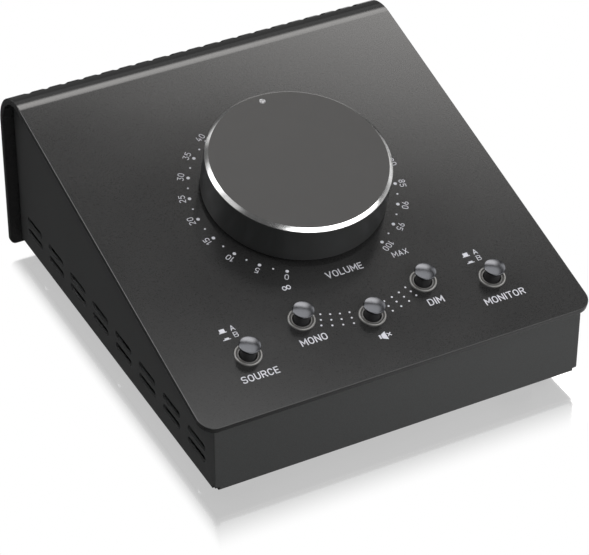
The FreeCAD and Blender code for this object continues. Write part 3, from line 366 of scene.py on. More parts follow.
@dataclass(frozen=True)
class Moulding(Coat):
    """Moulded plastic or rubber with a soft skin and a trace of dust."""

    colour: Colour
    roughness: float
    skin: float = 1.4
    relief: float = 0.02
    specular: float = 0.5
    skin_gloss: float = 0.12
    dust: float = 0.18
    dust_shift: float = 0.25
    dust_tone: float = 0.004

    def fill(self, graph: Graph) -> None:
        """Vary shade with dust and gloss with the skin.

        Args:
            graph: The material's graph.
        """
        place = graph.place()
        skin = graph.noise(place, self.skin, 4.0, 0.6)
        dust = graph.span(graph.noise(place, self.dust, 3.0), 0.45, 0.8)
        dusty = tuple(part * (1 + self.dust_shift) + self.dust_tone for part in self.colour)
        rough = self.roughness + (skin - 0.5) * self.skin_gloss
        graph.finish(graph.blend(dust, self.colour, dusty), rough, 0.0,
                     graph.bump(skin, 0.4, self.relief), Specular_IOR_Level=self.specular)


@dataclass(frozen=True)
class Laminate(Coat):
    """Glass fibre board under solder mask, with its copper tracks."""

    mask: Colour
    track: Colour
    roughness: float = 0.32
    cell: float = 0.28
    stretch: float = 0.45
    weave: float = 4.0
    weave_gloss: float = 0.12
    relief: float = 0.03

    def fill(self, graph: Graph) -> None:
        """Lay the tracks along the edges of square cells.

        Args:
            graph: The material's graph.
        """
        place = graph.place()
        u, v, w = graph.split(place)
        lanes = graph.node("ShaderNodeTexVoronoi", {"feature": "F1", "distance": "CHEBYCHEV"},
                           {"Vector": graph.gather(u, v * self.stretch, w), "Scale": self.cell})
        tracks = graph.span(lanes, 0.52, 0.58)
        rough = self.roughness + graph.noise(place, self.weave, 1.0) * self.weave_gloss
        graph.finish(graph.blend(tracks, self.mask, self.track), rough, 0.0,
                     graph.bump(tracks, 0.5, self.relief))


@dataclass(frozen=True)
class Banded(Coat):
    """Body of a resistor with coloured bands across its length."""

    body: Colour
    band: Colour
    roughness: float = 0.25
    bands: float = 5.0
    specks: float = 2.0
    speck_gloss: float = 0.1
    relief: float = 0.01

    def fill(self, graph: Graph) -> None:
        """Paint the bands at even steps up the panel.

        Args:
            graph: The material's graph.
        """
        place = graph.place(turned=True)
        wave = graph.maths("SINE", graph.split(place)[1] * self.bands)
        specks = graph.noise(place, self.specks)
        graph.finish(graph.blend(graph.span(wave, 0.5, 0.7), self.body, self.band),
                     self.roughness + specks * self.speck_gloss, 0.0, graph.bump(specks, 0.2, self.relief))


@dataclass(frozen=True)
class Ribbed(Coat):
    """Flat cable with its grooves between the wires."""

    colour: Colour
    pitch: float = 1.27
    groove_share: float = 0.7
    relief: float = 0.2
    roughness: float = 0.4
    specks: float = 2.0
    speck_gloss: float = 0.15

    def fill(self, graph: Graph) -> None:
        """Raise a ridge over each wire and darken the grooves.

        Args:
            Raise a ridge over each wire and darken the grooves with painted shade.
        """
        place = graph.place()
        ridge = graph.maths("SINE", graph.split(place)[0] * (FULL_TURN / self.pitch)) * 0.5 + 0.5
        rough = self.roughness + graph.noise(place, self.specks) * self.speck_gloss
        # Painted shade: the grooves between the wires take a darker share of the cable's colour.
        colour = graph.blend(graph.span(ridge, 0.1, 0.6), shaded(self.colour, self.groove_share), self.colour)
        graph.finish(colour, rough, 0.0, graph.bump(ridge, 0.8, self.relief))


@dataclass(frozen=True)
class Ink(Coat):
    """Screen print on lacquer."""

    colour: Colour
    roughness: float = 0.55
    cover: float = 5.0
    cover_gloss: float = 0.1
    thin: float = 0.88
    relief: float = 0.004

    def fill(self, graph: Graph) -> None:
        """Thin the ink a little here and there.

        Args:
            graph: The material's graph.
        """
        cover = graph.noise(graph.place(), self.cover)
        colour = graph.blend(graph.span(cover, 0.3, 0.7), shaded(self.colour, self.thin), self.colour)
        graph.finish(colour, self.roughness + cover * self.cover_gloss, 0.0,
                     graph.bump(cover, 0.2, self.relief))


class Finish(Enum):
    """Finishes, named as the material slots of the part where it has them."""

    panel_paint = Lacquer((0.018, 0.018, 0.018), 0.12)
    case_paint = Lacquer((0.047, 0.048, 0.048), 0.40, specular=0.35)
    base_paint = Lacquer((0.012, 0.012, 0.012), 0.5, specular=0.3)
    rubber = Moulding((0.012, 0.012, 0.012), 0.75, relief=0.05, specular=0.3)
    black_steel = Metal((0.055, 0.055, 0.058), 0.35, Lay.PLAIN, 0.8)
    plated_steel = Metal((0.62, 0.62, 0.60), 0.3)
    knob_aluminium = Metal((0.038, 0.039, 0.039), 0.36, Lay.TURNED, 0.35, 0.10)
    black_plastic = Moulding((0.020, 0.020, 0.021), 0.5)
    socket_plastic = Moulding((0.014, 0.014, 0.015), 0.38)
    plated_brass = Metal((0.60, 0.58, 0.52), 0.22)
    tinned_brass = Metal((0.70, 0.69, 0.64), 0.3)
    resistor_track = Moulding((0.018, 0.016, 0.015), 0.6)
    circuit_board = Laminate((0.010, 0.055, 0.028), (0.018, 0.090, 0.045))
    resistor_body = Banded((0.16, 0.30, 0.42), (0.30, 0.08, 0.03))
    ribbon_grey = Ribbed((0.28, 0.28, 0.29))
    button_chrome = Metal((0.094, 0.096, 0.103), 0.19, Lay.PLAIN, 1.0, 0.04, 0.002)
    collar_steel = Metal((0.28, 0.276, 0.268), 0.46, Lay.PLAIN, 0.85, 0.06)
    # A darker copy of collar_steel: painted shade on the collar's steps inside its rim, under the cap.
    collar_bush = Metal((0.15, 0.148, 0.144), 0.50, Lay.PLAIN, 0.7, 0.06)
    spring_steel = Metal((0.52, 0.52, 0.53), 0.25)
    knob_face = Metal((0.0445, 0.0438, 0.0432), 0.42, Lay.FACED, 0.7, 0.08)
    knob_dimple = Metal((0.36, 0.36, 0.365), 0.42)
    knob_cut = Metal((0.66, 0.66, 0.655), 0.20, Lay.TURNED, 1.0, 0.06)
    print_ink = Ink((0.54, 0.54, 0.585))

    @cached_property
    def material(self) -> bpy.types.Material:
        """Its material, made when it is first asked for."""
        return self.value.build(self.name)


# ------------------------------------------------------------------ bench for new pieces
class Bench:
    """A mesh in the making, in millimetres."""

    seam: float = 1e-4

    def __init__(self) -> None:
        """Start with an empty mesh."""
        self.bm = bmesh.new()

    def _added(self, before: set) -> list:
        """Corners of the faces that an earlier set of faces doesn't hold."""
        return list({vert for face in self.bm.faces if face not in before for vert in face.verts})

    def spin(self, profile: Sequence[tuple[float, float]], steps: int, place: Matrix) -> None:
        """Turn a profile of (radius, height) corners about the upright axis.

        Args:
            profile: Corners from the start of the profile to its end.
            steps: Steps of the full turn.
            place: Where the turned shape goes.
        """
        before = set(self.bm.faces)
        corners = [self.bm.verts.new((radius, 0.0, height)) for radius, height in profile]
        edges = [self.bm.edges.new(pair) for pair in zip(corners, corners[1:])]
        bmesh.ops.spin(self.bm, geom=corners + edges, cent=(0, 0, 0), axis=(0, 0, 1),
                       angle=FULL_TURN, steps=steps, use_merge=True, use_duplicate=False)
        bmesh.ops.remove_doubles(self.bm, verts=self._added(before), dist=self.seam)
        bmesh.ops.transform(self.bm, matrix=place, verts=self._added(before))

    def outline(self, radius: float, segments: int, place: Matrix, half_turn: bool = False) -> list:
        """Round outline without a face.

        Args:
            radius: Its radius.
            segments: Its segments.
            place: Where it goes.
            half_turn: Whether to start half a segment on.

        Returns:
            Its vertices.
        """
        turn = Matrix.Rotation(math.pi / segments if half_turn else 0.0, 4, "Z")
        return bmesh.ops.create_circle(self.bm, cap_ends=False, segments=segments, radius=radius,
                                       matrix=place @ turn)["verts"]

    def ring_face(self, outer: list, inner: list) -> None:
        """Close the gap between an outline and the one inside it."""
        edges = {edge for vert in outer + inner for edge in vert.link_edges}
        bmesh.ops.triangle_fill(self.bm, use_beauty=True, use_dissolve=False, edges=list(edges))

    def merge(self, reach: float) -> None:
        """Merge the corners that lie within reach of one another."""
        bmesh.ops.remove_doubles(self.bm, verts=self.bm.verts, dist=reach)

    def turn_out(self) -> None:
        """Point the faces outwards."""
        bmesh.ops.recalc_face_normals(self.bm, faces=self.bm.faces)

    def shade(self, limit: float) -> None:
        """Smooth shading with sharp edges above an angle.

        Args:
            limit: The angle in degrees.
        """
        for face in self.bm.faces:
            face.smooth = True
        for edge in self.bm.edges:
            edge.smooth = not edge.is_manifold or edge.calc_face_angle(0.0) < math.radians(limit)

    def settle(self, name: str, materials: Sequence[bpy.types.Material], place: Matrix) -> bpy.types.Object:
        """Turn the mesh into an object.

        Args:
            name: The object's name.
            materials: Its materials in slot order.
            place: From the mesh's millimetres to the frame.

        Returns:
            The object.
        """
        bmesh.ops.transform(self.bm, matrix=place, verts=self.bm.verts)
        mesh = bpy.data.meshes.new(name)
        self.bm.to_mesh(mesh)
        self.bm.free()
        for material in materials:
            mesh.materials.append(material)
        made = bpy.data.objects.new(name, mesh)
        bpy.context.scene.collection.objects.link(made)
        return made

    def piece(self, name: str, body: str, finishes: Sequence[Finish],
              place: Matrix = TABLE) -> bpy.types.Object:
        """Turn the mesh into a piece that rides on a body.

        Args:
            name: The piece's name.
            body: The body it rides on.
            finishes: Its finishes in slot order.
            place: From the mesh's millimetres to the frame.

        Returns:
            The piece.
        """
        made = self.settle(name, [finish.material for finish in finishes], place)
        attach(made, body)
        LOG.info("%s: %d faces on %s", name, len(made.data.polygons), body)
        return made


# ------------------------------------------------------------------ case
@dataclass
class TopCover:
    """Bent sheet: sloped panel, rear bend with its vents, and rear flap."""

    half_width: float = 65.0
    front: float = -72.94
    sheet: float = 2.0
    bend_y: float = 56.65
    bend_z: float = 51.18786
    bend_radius: float = 14.0
    flap_low: float = 4.2
    panel_corner: float = 5.0
    flap_corner: float = 2.0
    corner_steps: int = 10
    edge: float = 0.26
    edge_steps: int = 3
    vents: int = 20
    vent_reach: float = 57.3
    vent_width: float = 2.4
    vent_ends: tuple[float, float] = (4.0, 68.0)
    vent_steps: int = 16
    bend_steps: int = 70
    collar_hole: float = 3.65
    dial_hole: float = 4.75
    socket_hole: float = 5.55
    screw_hole: float = 1.7
    screw_steps: int = 20
    buttons: tuple = ((-41.0, -52.1), (-20.5, -46.0), (0.0, -52.1), (20.5, -46.0), (41.0, -52.1))
    sockets: tuple = ((-40.65, -13.55, 13.55, 40.65), (16.4, 36.4))
    screws: tuple = ((-57.3, 57.3), (15.15, 37.15))
    cut_reach: float = 1e-5
    level: float = 1e-4
    sharp: float = 50.0
    flat_weight: int = 90
    bench: Bench = field(default_factory=Bench)

    def __post_init__(self) -> None:
        """Work out where the bend starts and ends along the flat sheet."""
        slope = math.radians(SLOPE)
        start_y = self.bend_y - self.bend_radius * math.sin(slope)
        self.bend_turn = math.radians(90.0 + SLOPE)
        self.bend_start = (start_y - DIAL_PLACE.y) / math.cos(slope)
        self.bend_end = self.bend_start + self.bend_radius * self.bend_turn
        self.end = self.bend_end + self.bend_z - self.flap_low

    def _along(self, degrees: float) -> float:
        """Distance along the flat sheet of a point of the bend, counted in degrees from the flap."""
        return self.bend_end - self.bend_radius * math.radians(degrees)

    def _down(self, height: float) -> float:
        """Distance along the flat sheet of a height on the flap."""
        return self.bend_end + self.bend_z - height

    def _folded(self, flat: Vector) -> Vector:
        """Where a point of the flat sheet lies after bending.

        Args:
            flat: The point on the flat sheet.

        Returns:
            The point on the bent sheet.
        """
        slope = math.radians(SLOPE)
        if flat.y <= self.bend_start:
            return Vector((flat.x, DIAL_PLACE.y + flat.y * math.cos(slope),
                           DIAL_PLACE.z + flat.y * math.sin(slope)))
        if flat.y >= self.bend_end:
            return Vector((flat.x, self.bend_y + self.bend_radius, self.bend_z - (flat.y - self.bend_end)))
        angle = self.bend_turn - (flat.y - self.bend_start) / self.bend_radius
        return Vector((flat.x, self.bend_y + self.bend_radius * math.cos(angle),
                       self.bend_z + self.bend_radius * math.sin(angle)))

    def _blank(self) -> None:
        """Draw the outline of the flat sheet with its rounded corners."""
        place = (Matrix.Translation((0, (self.front + self.end) / 2, 0))
                 @ Matrix.Diagonal((self.half_width, (self.end - self.front) / 2, 1.0, 1.0)))
        bmesh.ops.create_grid(self.bench.bm, x_segments=1, y_segments=1, size=1.0, matrix=place)
        for side, radius in ((-1, self.panel_corner), (1, self.flap_corner)):
            chosen = [vert for vert in self.bench.bm.verts if vert.co.y * side > 0]
            bmesh.ops.bevel(self.bench.bm, geom=chosen, offset=radius, segments=self.corner_steps,
                            profile=0.5, affect="VERTICES", material=-1)
        bmesh.ops.delete(self.bench.bm, geom=list(self.bench.bm.faces), context="FACES_ONLY")

    def _holes(self) -> None:
        """Draw the outlines of the vents and holes."""
        holes = [(self.dial_hole, HOLE_STEPS, 0, 0)]
        holes += [(self.collar_hole, HOLE_STEPS, u, v) for u, v in self.buttons]
        holes += [(radius, steps, x, self._down(z))
                  for radius, steps, (across, heights) in ((self.socket_hole, HOLE_STEPS, self.sockets),
                                                           (self.screw_hole, self.screw_steps, self.screws))
                  for x in across for z in heights]
        for radius, steps, x, at in holes:
            self.bench.outline(radius, steps, Matrix.Translation((x, at, 0)))
        low, high = (self._along(end) for end in self.vent_ends)
        middle = (low + high) / 2
        radius = self.vent_width / 2
        reach = (low - high) / 2 - radius
        for index in range(self.vents):
            x = -self.vent_reach + index * 2 * self.vent_reach / (self.vents - 1)
            rim = self.bench.outline(radius / math.cos(math.pi / self.vent_steps), self.vent_steps,
                                     Matrix.Translation((x, middle, 0)), half_turn=True)
            for side in (-1, 1):
                half = [vert for vert in rim if (vert.co.y - middle) * side > 0]
                bmesh.ops.translate(self.bench.bm, vec=(0, side * reach, 0), verts=half)

    def _bend(self) -> None:
        """Cut the sheet into strips across the bend and fold it."""
        bm = self.bench.bm
        length = self.bend_end - self.bend_start
        cuts = [self.bend_start + length * step / self.bend_steps for step in range(self.bend_steps + 1)]
        cuts += [0.0] + sorted({v for _, v in self.buttons})
        cuts += [self._down(z) for z in self.sockets[1] + self.screws[1]]
        for at in cuts:
            bmesh.ops.bisect_plane(bm, geom=[*bm.verts, *bm.edges, *bm.faces], dist=self.cut_reach,
                                   plane_co=(0, at, 0), plane_no=(0, 1, 0))
        loose = [edge for edge in bm.edges if not edge.is_boundary
                 and abs(edge.verts[0].co.y - edge.verts[1].co.y) > self.level]
        bmesh.ops.dissolve_edges(bm, edges=loose, use_verts=False)
        for vert in bm.verts:
            vert.co = self._folded(vert.co)

    def _thicken(self, cover: bpy.types.Object) -> None:
        """Give the sheet its wall and its soft edges.

        Args:
            cover: The bent sheet without thickness.
        """
        wall = cover.modifiers.new("wall", "SOLIDIFY")
        wall.thickness = self.sheet * MM
        wall.offset = -1.0
        rim = cover.modifiers.new("rim", "BEVEL")
        rim.width = self.edge * MM
        rim.segments = self.edge_steps
        rim.limit_method = "ANGLE"
        rim.angle_limit = math.radians(self.sharp)
        rim.use_clamp_overlap = False
        soft = cover.modifiers.new("soft", "WEIGHTED_NORMAL")
        soft.weight = self.flat_weight

    def build(self) -> None:
        """Make the cover."""
        self._blank()
        self._holes()
        bmesh.ops.triangle_fill(self.bench.bm, use_beauty=True, use_dissolve=False, edges=self.bench.bm.edges)
        self._bend()
        self.bench.turn_out()
        upright = max(self.bench.bm.faces, key=lambda face: face.calc_center_median().z)
        if upright.normal.z < 0:
            bmesh.ops.reverse_faces(self.bench.bm, faces=self.bench.bm.faces)
        self.bench.shade(self.sharp)
        cover = self.bench.piece("top_cover_sheet", "case", [Finish.panel_paint])
        self._thicken(cover)
        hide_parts("top_cover")


# ------------------------------------------------------------------ dial
@dataclass
class VolumeKnob:
    """Turned knob: dark skirt, bright cut chamfer, faced top with a dimple.

    The rounding fields are steps inwards and up or down from the sharp corner that they take off.
    """

    radius: float = 28.75
    foot_radius: float = 28.73
    face_radius: float = 27.5
    height: float = 14.87
    shoulder: float = 13.87
    shoulder_round: tuple[float, float, float] = (0.12, 0.09, 0.06)
    lift: float = 1.2
    foot_round: tuple[float, float] = (0.25, 0.35)
    wall: float = 2.2
    top: float = 2.2
    dimple_radius: float = 1.0
    dimple_depth: float = 0.35
    dimple_out: float = 25.1
    dimple_steps: int = 8
    steps: int = 256
    hair: float = 2e-3
    sharp: float = 25.0
    finishes: tuple = (Finish.knob_aluminium, Finish.knob_face, Finish.knob_cut, Finish.knob_dimple)
    bench: Bench = field(default_factory=Bench)

    def _body(self) -> None:
        """Turn the skirt, the chamfer and the inside."""
        low = self.height - self.top
        inwards, up, down = self.shoulder_round
        foot_in, foot_up = self.foot_round
        profile = [(self.face_radius, self.height), (self.radius - inwards, self.shoulder + up),
                   (self.radius, self.shoulder - down), (self.radius, self.lift + foot_up),
                   (self.foot_radius - foot_in, self.lift), (self.foot_radius - self.wall, self.lift),
                   (self.radius - self.wall, low), (0.0, low)]
        self.bench.spin(profile, self.steps, Matrix())

    def _face(self) -> None:
        """Close the top round the dimple and turn the dimple's bowl."""
        rim = self.bench.outline(self.face_radius, self.steps, Matrix.Translation((0, 0, self.height)))
        bowl = Matrix.Translation((0, self.dimple_out, self.height))
        self.bench.ring_face(rim, self.bench.outline(self.dimple_radius, HOLE_STEPS, bowl))
        ball = (self.dimple_radius ** 2 + self.dimple_depth ** 2) / (2 * self.dimple_depth)
        half = math.asin(self.dimple_radius / ball)
        angles = [half * step / self.dimple_steps for step in range(self.dimple_steps, -1, -1)]
        arc = [(ball * math.sin(angle), ball * (1 - math.cos(angle)) - self.dimple_depth)
               for angle in angles]
        self.bench.spin(arc, HOLE_STEPS, bowl)
        self.bench.merge(self.hair)

    def _finish_of(self, face: bmesh.types.BMFace) -> Finish:
        """Which finish a face has.

        Args:
            face: The face.

        Returns:
            Its finish.
        """
        middle = face.calc_center_median()
        if middle.z < self.shoulder + self.shoulder_round[1] / 2:
            return Finish.knob_aluminium
        if math.hypot(middle.x, middle.y - self.dimple_out) < self.dimple_radius - self.hair:
            return Finish.knob_dimple
        return Finish.knob_face if middle.z > self.height - self.hair else Finish.knob_cut

    def build(self) -> None:
        """Make the knob."""
        self._body()
        self._face()
        self.bench.turn_out()
        for face in self.bench.bm.faces:
            face.material_index = self.finishes.index(self._finish_of(face))
        self.bench.shade(self.sharp)
        knob = self.bench.piece("volume_knob_turned", "volume_knob", self.finishes, PANEL)
        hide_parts("knob_shell")


# ------------------------------------------------------------------ push buttons
@dataclass
class PushButton:
    """Chromed mushroom cap over a stepped collar.

    The under field holds steps inwards and down from the cap's rim. The roll field holds steps
    inwards from the collar's outside with shares of the rim's height, and the inner field steps
    outwards from its bore with heights.
    """

    name: str
    u: float
    v: float
    cap_radius: float = 3.3
    stem_radius: float = 2.4
    neck: float = 3.2
    neck_round: tuple[float, float] = (0.2, 0.1)
    top: float = 5.2
    tilt: float = 13.0
    dome_steps: int = 8
    shoulder: float = 0.28
    shoulder_steps: int = 6
    under: tuple = ((0.0, 0.18), (0.05, 0.30), (0.35, 0.55))
    chrome_low: float = 0.2
    stem_low: float = -3.1
    roof: float = 0.9
    plunger: float = 1.55
    collar_radius: float = 4.2
    barrel_radius: float = 3.6
    barrel_low: float = -3.7
    rim: float = 0.55
    roll: tuple = ((0.0, 0.40), (0.06, 0.68), (0.17, 0.90), (0.34, 1.0), (0.51, 0.93), (0.63, 0.74),
                   (0.69, 0.48))
    roll_width: float = 0.72
    groove: float = 0.14
    bore: float = 2.75
    inner: tuple = ((0.60, 0.11), (0.52, 0.04), (0.44, 0.20), (0.36, 0.25), (0.10, 0.25), (0.0, 0.16))
    steel_low: float = 0.66
    sharp: float = 40.0

    def _cap(self) -> None:
        """Turn the cap with its hollow stem."""
        bench = Bench()
        reach, edge = self.cap_radius, math.radians(self.tilt)
        ball = (reach - self.shoulder * (1 - math.sin(edge))) / math.sin(edge)
        angles = [edge * step / self.dome_steps for step in range(self.dome_steps + 1)]
        dome = [(ball * math.sin(angle), self.top - ball * (1 - math.cos(angle))) for angle in angles]
        rim = dome[-1][1] - self.shoulder * math.cos(edge)
        bends = [edge + (math.pi / 2 - edge) * step / self.shoulder_steps
                 for step in range(1, self.shoulder_steps + 1)]
        dome += [(reach - self.shoulder * (1 - math.sin(bend)), rim + self.shoulder * math.cos(bend))
                 for bend in bends]
        out, high = self.neck_round
        stem = [(reach - inwards, rim - down) for inwards, down in self.under]
        stem += [(self.stem_radius + out, self.neck + high), (self.stem_radius, self.neck - high),
                 (self.stem_radius, self.stem_low), (self.plunger, self.stem_low),
                 (self.plunger, self.neck - self.roof), (0.0, self.neck - self.roof)]
        bench.spin(dome + stem, FINE_STEPS, Matrix.Translation((self.u, self.v, 0)))
        bench.turn_out()
        for face in bench.bm.faces:
            face.material_index = int(face.calc_center_median().z < rim - self.chrome_low)
        bench.shade(self.sharp)
        cap = bench.piece("button_dome_" + self.name, "button_" + self.name,
                          [Finish.button_chrome, Finish.black_plastic], PANEL)
        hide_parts("button_cap_" + self.name)

    def _collar(self) -> None:
        """Turn the collar with its rolled rim and inner steps."""
        bench = Bench()
        out, bore = self.collar_radius, self.bore
        profile = [(bore, self.barrel_low), (self.barrel_radius, self.barrel_low),
                   (self.barrel_radius, 0.0), (out, 0.0)]
        profile += [(out - inwards, self.rim * share) for inwards, share in self.roll]
        profile += [(out - self.roll_width, self.groove)]
        profile += [(bore + outwards, height) for outwards, height in self.inner]
        bench.spin([*profile, profile[0]], FINE_STEPS, Matrix.Translation((self.u, self.v, 0)))
        bench.turn_out()
        for face in bench.bm.faces:
            middle = face.calc_center_median()
            reach = math.hypot(middle.x - self.u, middle.y - self.v)
            # Painted shade: the steps inside the rim, under the cap, take a darker copy of the collar's
            # steel.
            face.material_index = int(reach < out - self.steel_low)
        bench.shade(self.sharp)
        collar = bench.piece("button_ring_" + self.name, "case",
                             [Finish.collar_steel, Finish.collar_bush], PANEL)
        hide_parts("button_collar_" + self.name)

    def build(self) -> None:
        """Make the cap and its collar."""
        self._cap()
        self._collar()


# ------------------------------------------------------------------ print
# Letters and numbers on a grid six high: width, then strokes. A line has four numbers, an arc five.
GLYPHS: dict[str, tuple[float, tuple]] = {
    "A": (4.2, ((0, 0, 2.1, 6), (2.1, 6, 4.2, 0), (0.9, 1.7, 3.3, 1.7))),
    "B": (3.9, ((0, 0, 0, 6), (0, 6, 2.4, 6), (2.4, 4.55, 1.45, -90, 90), (0, 3.1, 2.4, 3.1),
                (2.4, 1.55, 1.55, -90, 90), (0, 0, 2.4, 0))),
    "C": (3.9, ((1.95, 4.05, 1.95, 12, 180), (0, 1.95, 0, 4.05), (1.95, 1.95, 1.95, 180, 348))),
    "D": (4.0, ((0, 0, 0, 6), (0, 6, 1.8, 6), (1.8, 3.8, 2.2, 0, 90), (4, 2.2, 4, 3.8),
                (1.8, 2.2, 2.2, -90, 0), (0, 0, 1.8, 0))),
    "E": (3.2, ((0, 0, 0, 6), (0, 6, 3.2, 6), (0, 3.1, 2.9, 3.1), (0, 0, 3.2, 0))),
    "I": (0.0, ((0, 0, 0, 6),)),
    "L": (3.1, ((0, 0, 0, 6), (0, 0, 3.1, 0))),
    "M": (5.0, ((0, 0, 0, 6), (0, 6, 2.5, 1.8), (2.5, 1.8, 5, 6), (5, 0, 5, 6))),
    "N": (4.2, ((0, 0, 0, 6), (0, 6, 4.2, 0), (4.2, 0, 4.2, 6))),
    "O": (4.0, ((2, 4, 2, 0, 180), (0, 2, 0, 4), (4, 2, 4, 4), (2, 2, 2, 180, 360))),
    "R": (3.9, ((0, 0, 0, 6), (0, 6, 2.3, 6), (2.3, 4.4, 1.6, -90, 90), (0, 2.8, 2.3, 2.8),
                (2.1, 2.8, 3.8, 0))),
    "S": (3.9, ((2.4, 4.5, 1.5, 15, 90), (1.5, 6, 2.4, 6), (1.5, 4.5, 1.5, 90, 270), (1.5, 3, 2.4, 3),
                (2.4, 1.5, 1.5, -90, 90), (1.5, 0, 2.4, 0), (1.5, 1.5, 1.5, 195, 270))),
    "T": (4.0, ((0, 6, 4, 6), (2, 0, 2, 6))),
    "U": (4.0, ((0, 2, 0, 6), (2, 2, 2, 180, 360), (4, 2, 4, 6))),
    "V": (4.4, ((0, 6, 2.2, 0), (2.2, 0, 4.4, 6))),
    "X": (4.0, ((0, 0, 4, 6), (0, 6, 4, 0))),
    "0": (3.4, ((1.7, 4.3, 1.7, 0, 180), (0, 1.7, 0, 4.3), (3.4, 1.7, 3.4, 4.3),
                (1.7, 1.7, 1.7, 180, 360))),
    "1": (1.8, ((0.2, 4.7, 1.6, 6), (1.6, 0, 1.6, 6))),
    "2": (3.4, ((1.7, 4.3, 1.7, -35, 165), (3.1, 3.3, 0.2, 0), (0.2, 0, 3.4, 0))),
    "3": (3.4, ((0.2, 6, 3.2, 6), (3.2, 6, 1.7, 3.6), (1.6, 1.8, 1.8, -155, 85))),
    "4": (3.6, ((1.7, 6, 0, 1.6), (0, 1.6, 3.6, 1.6), (2.7, 0, 2.7, 3.3))),
    "5": (3.4, ((0.4, 6, 3.2, 6), (0.4, 3.2, 0.4, 6), (1.6, 1.9, 1.9, -155, 130))),
    "6": (3.4, ((1.7, 1.7, 1.7, 0, 360), (0.2, 2.5, 2.0, 6))),
    "7": (3.4, ((0, 6, 3.4, 6), (3.4, 6, 1.3, 0))),
    "8": (3.4, ((1.7, 4.55, 1.45, 0, 360), (1.7, 1.6, 1.6, 0, 360))),
    "9": (3.4, ((1.7, 4.3, 1.7, 0, 360), (3.2, 3.5, 1.4, 0)))}
GLYPH_HEIGHT = 6.0


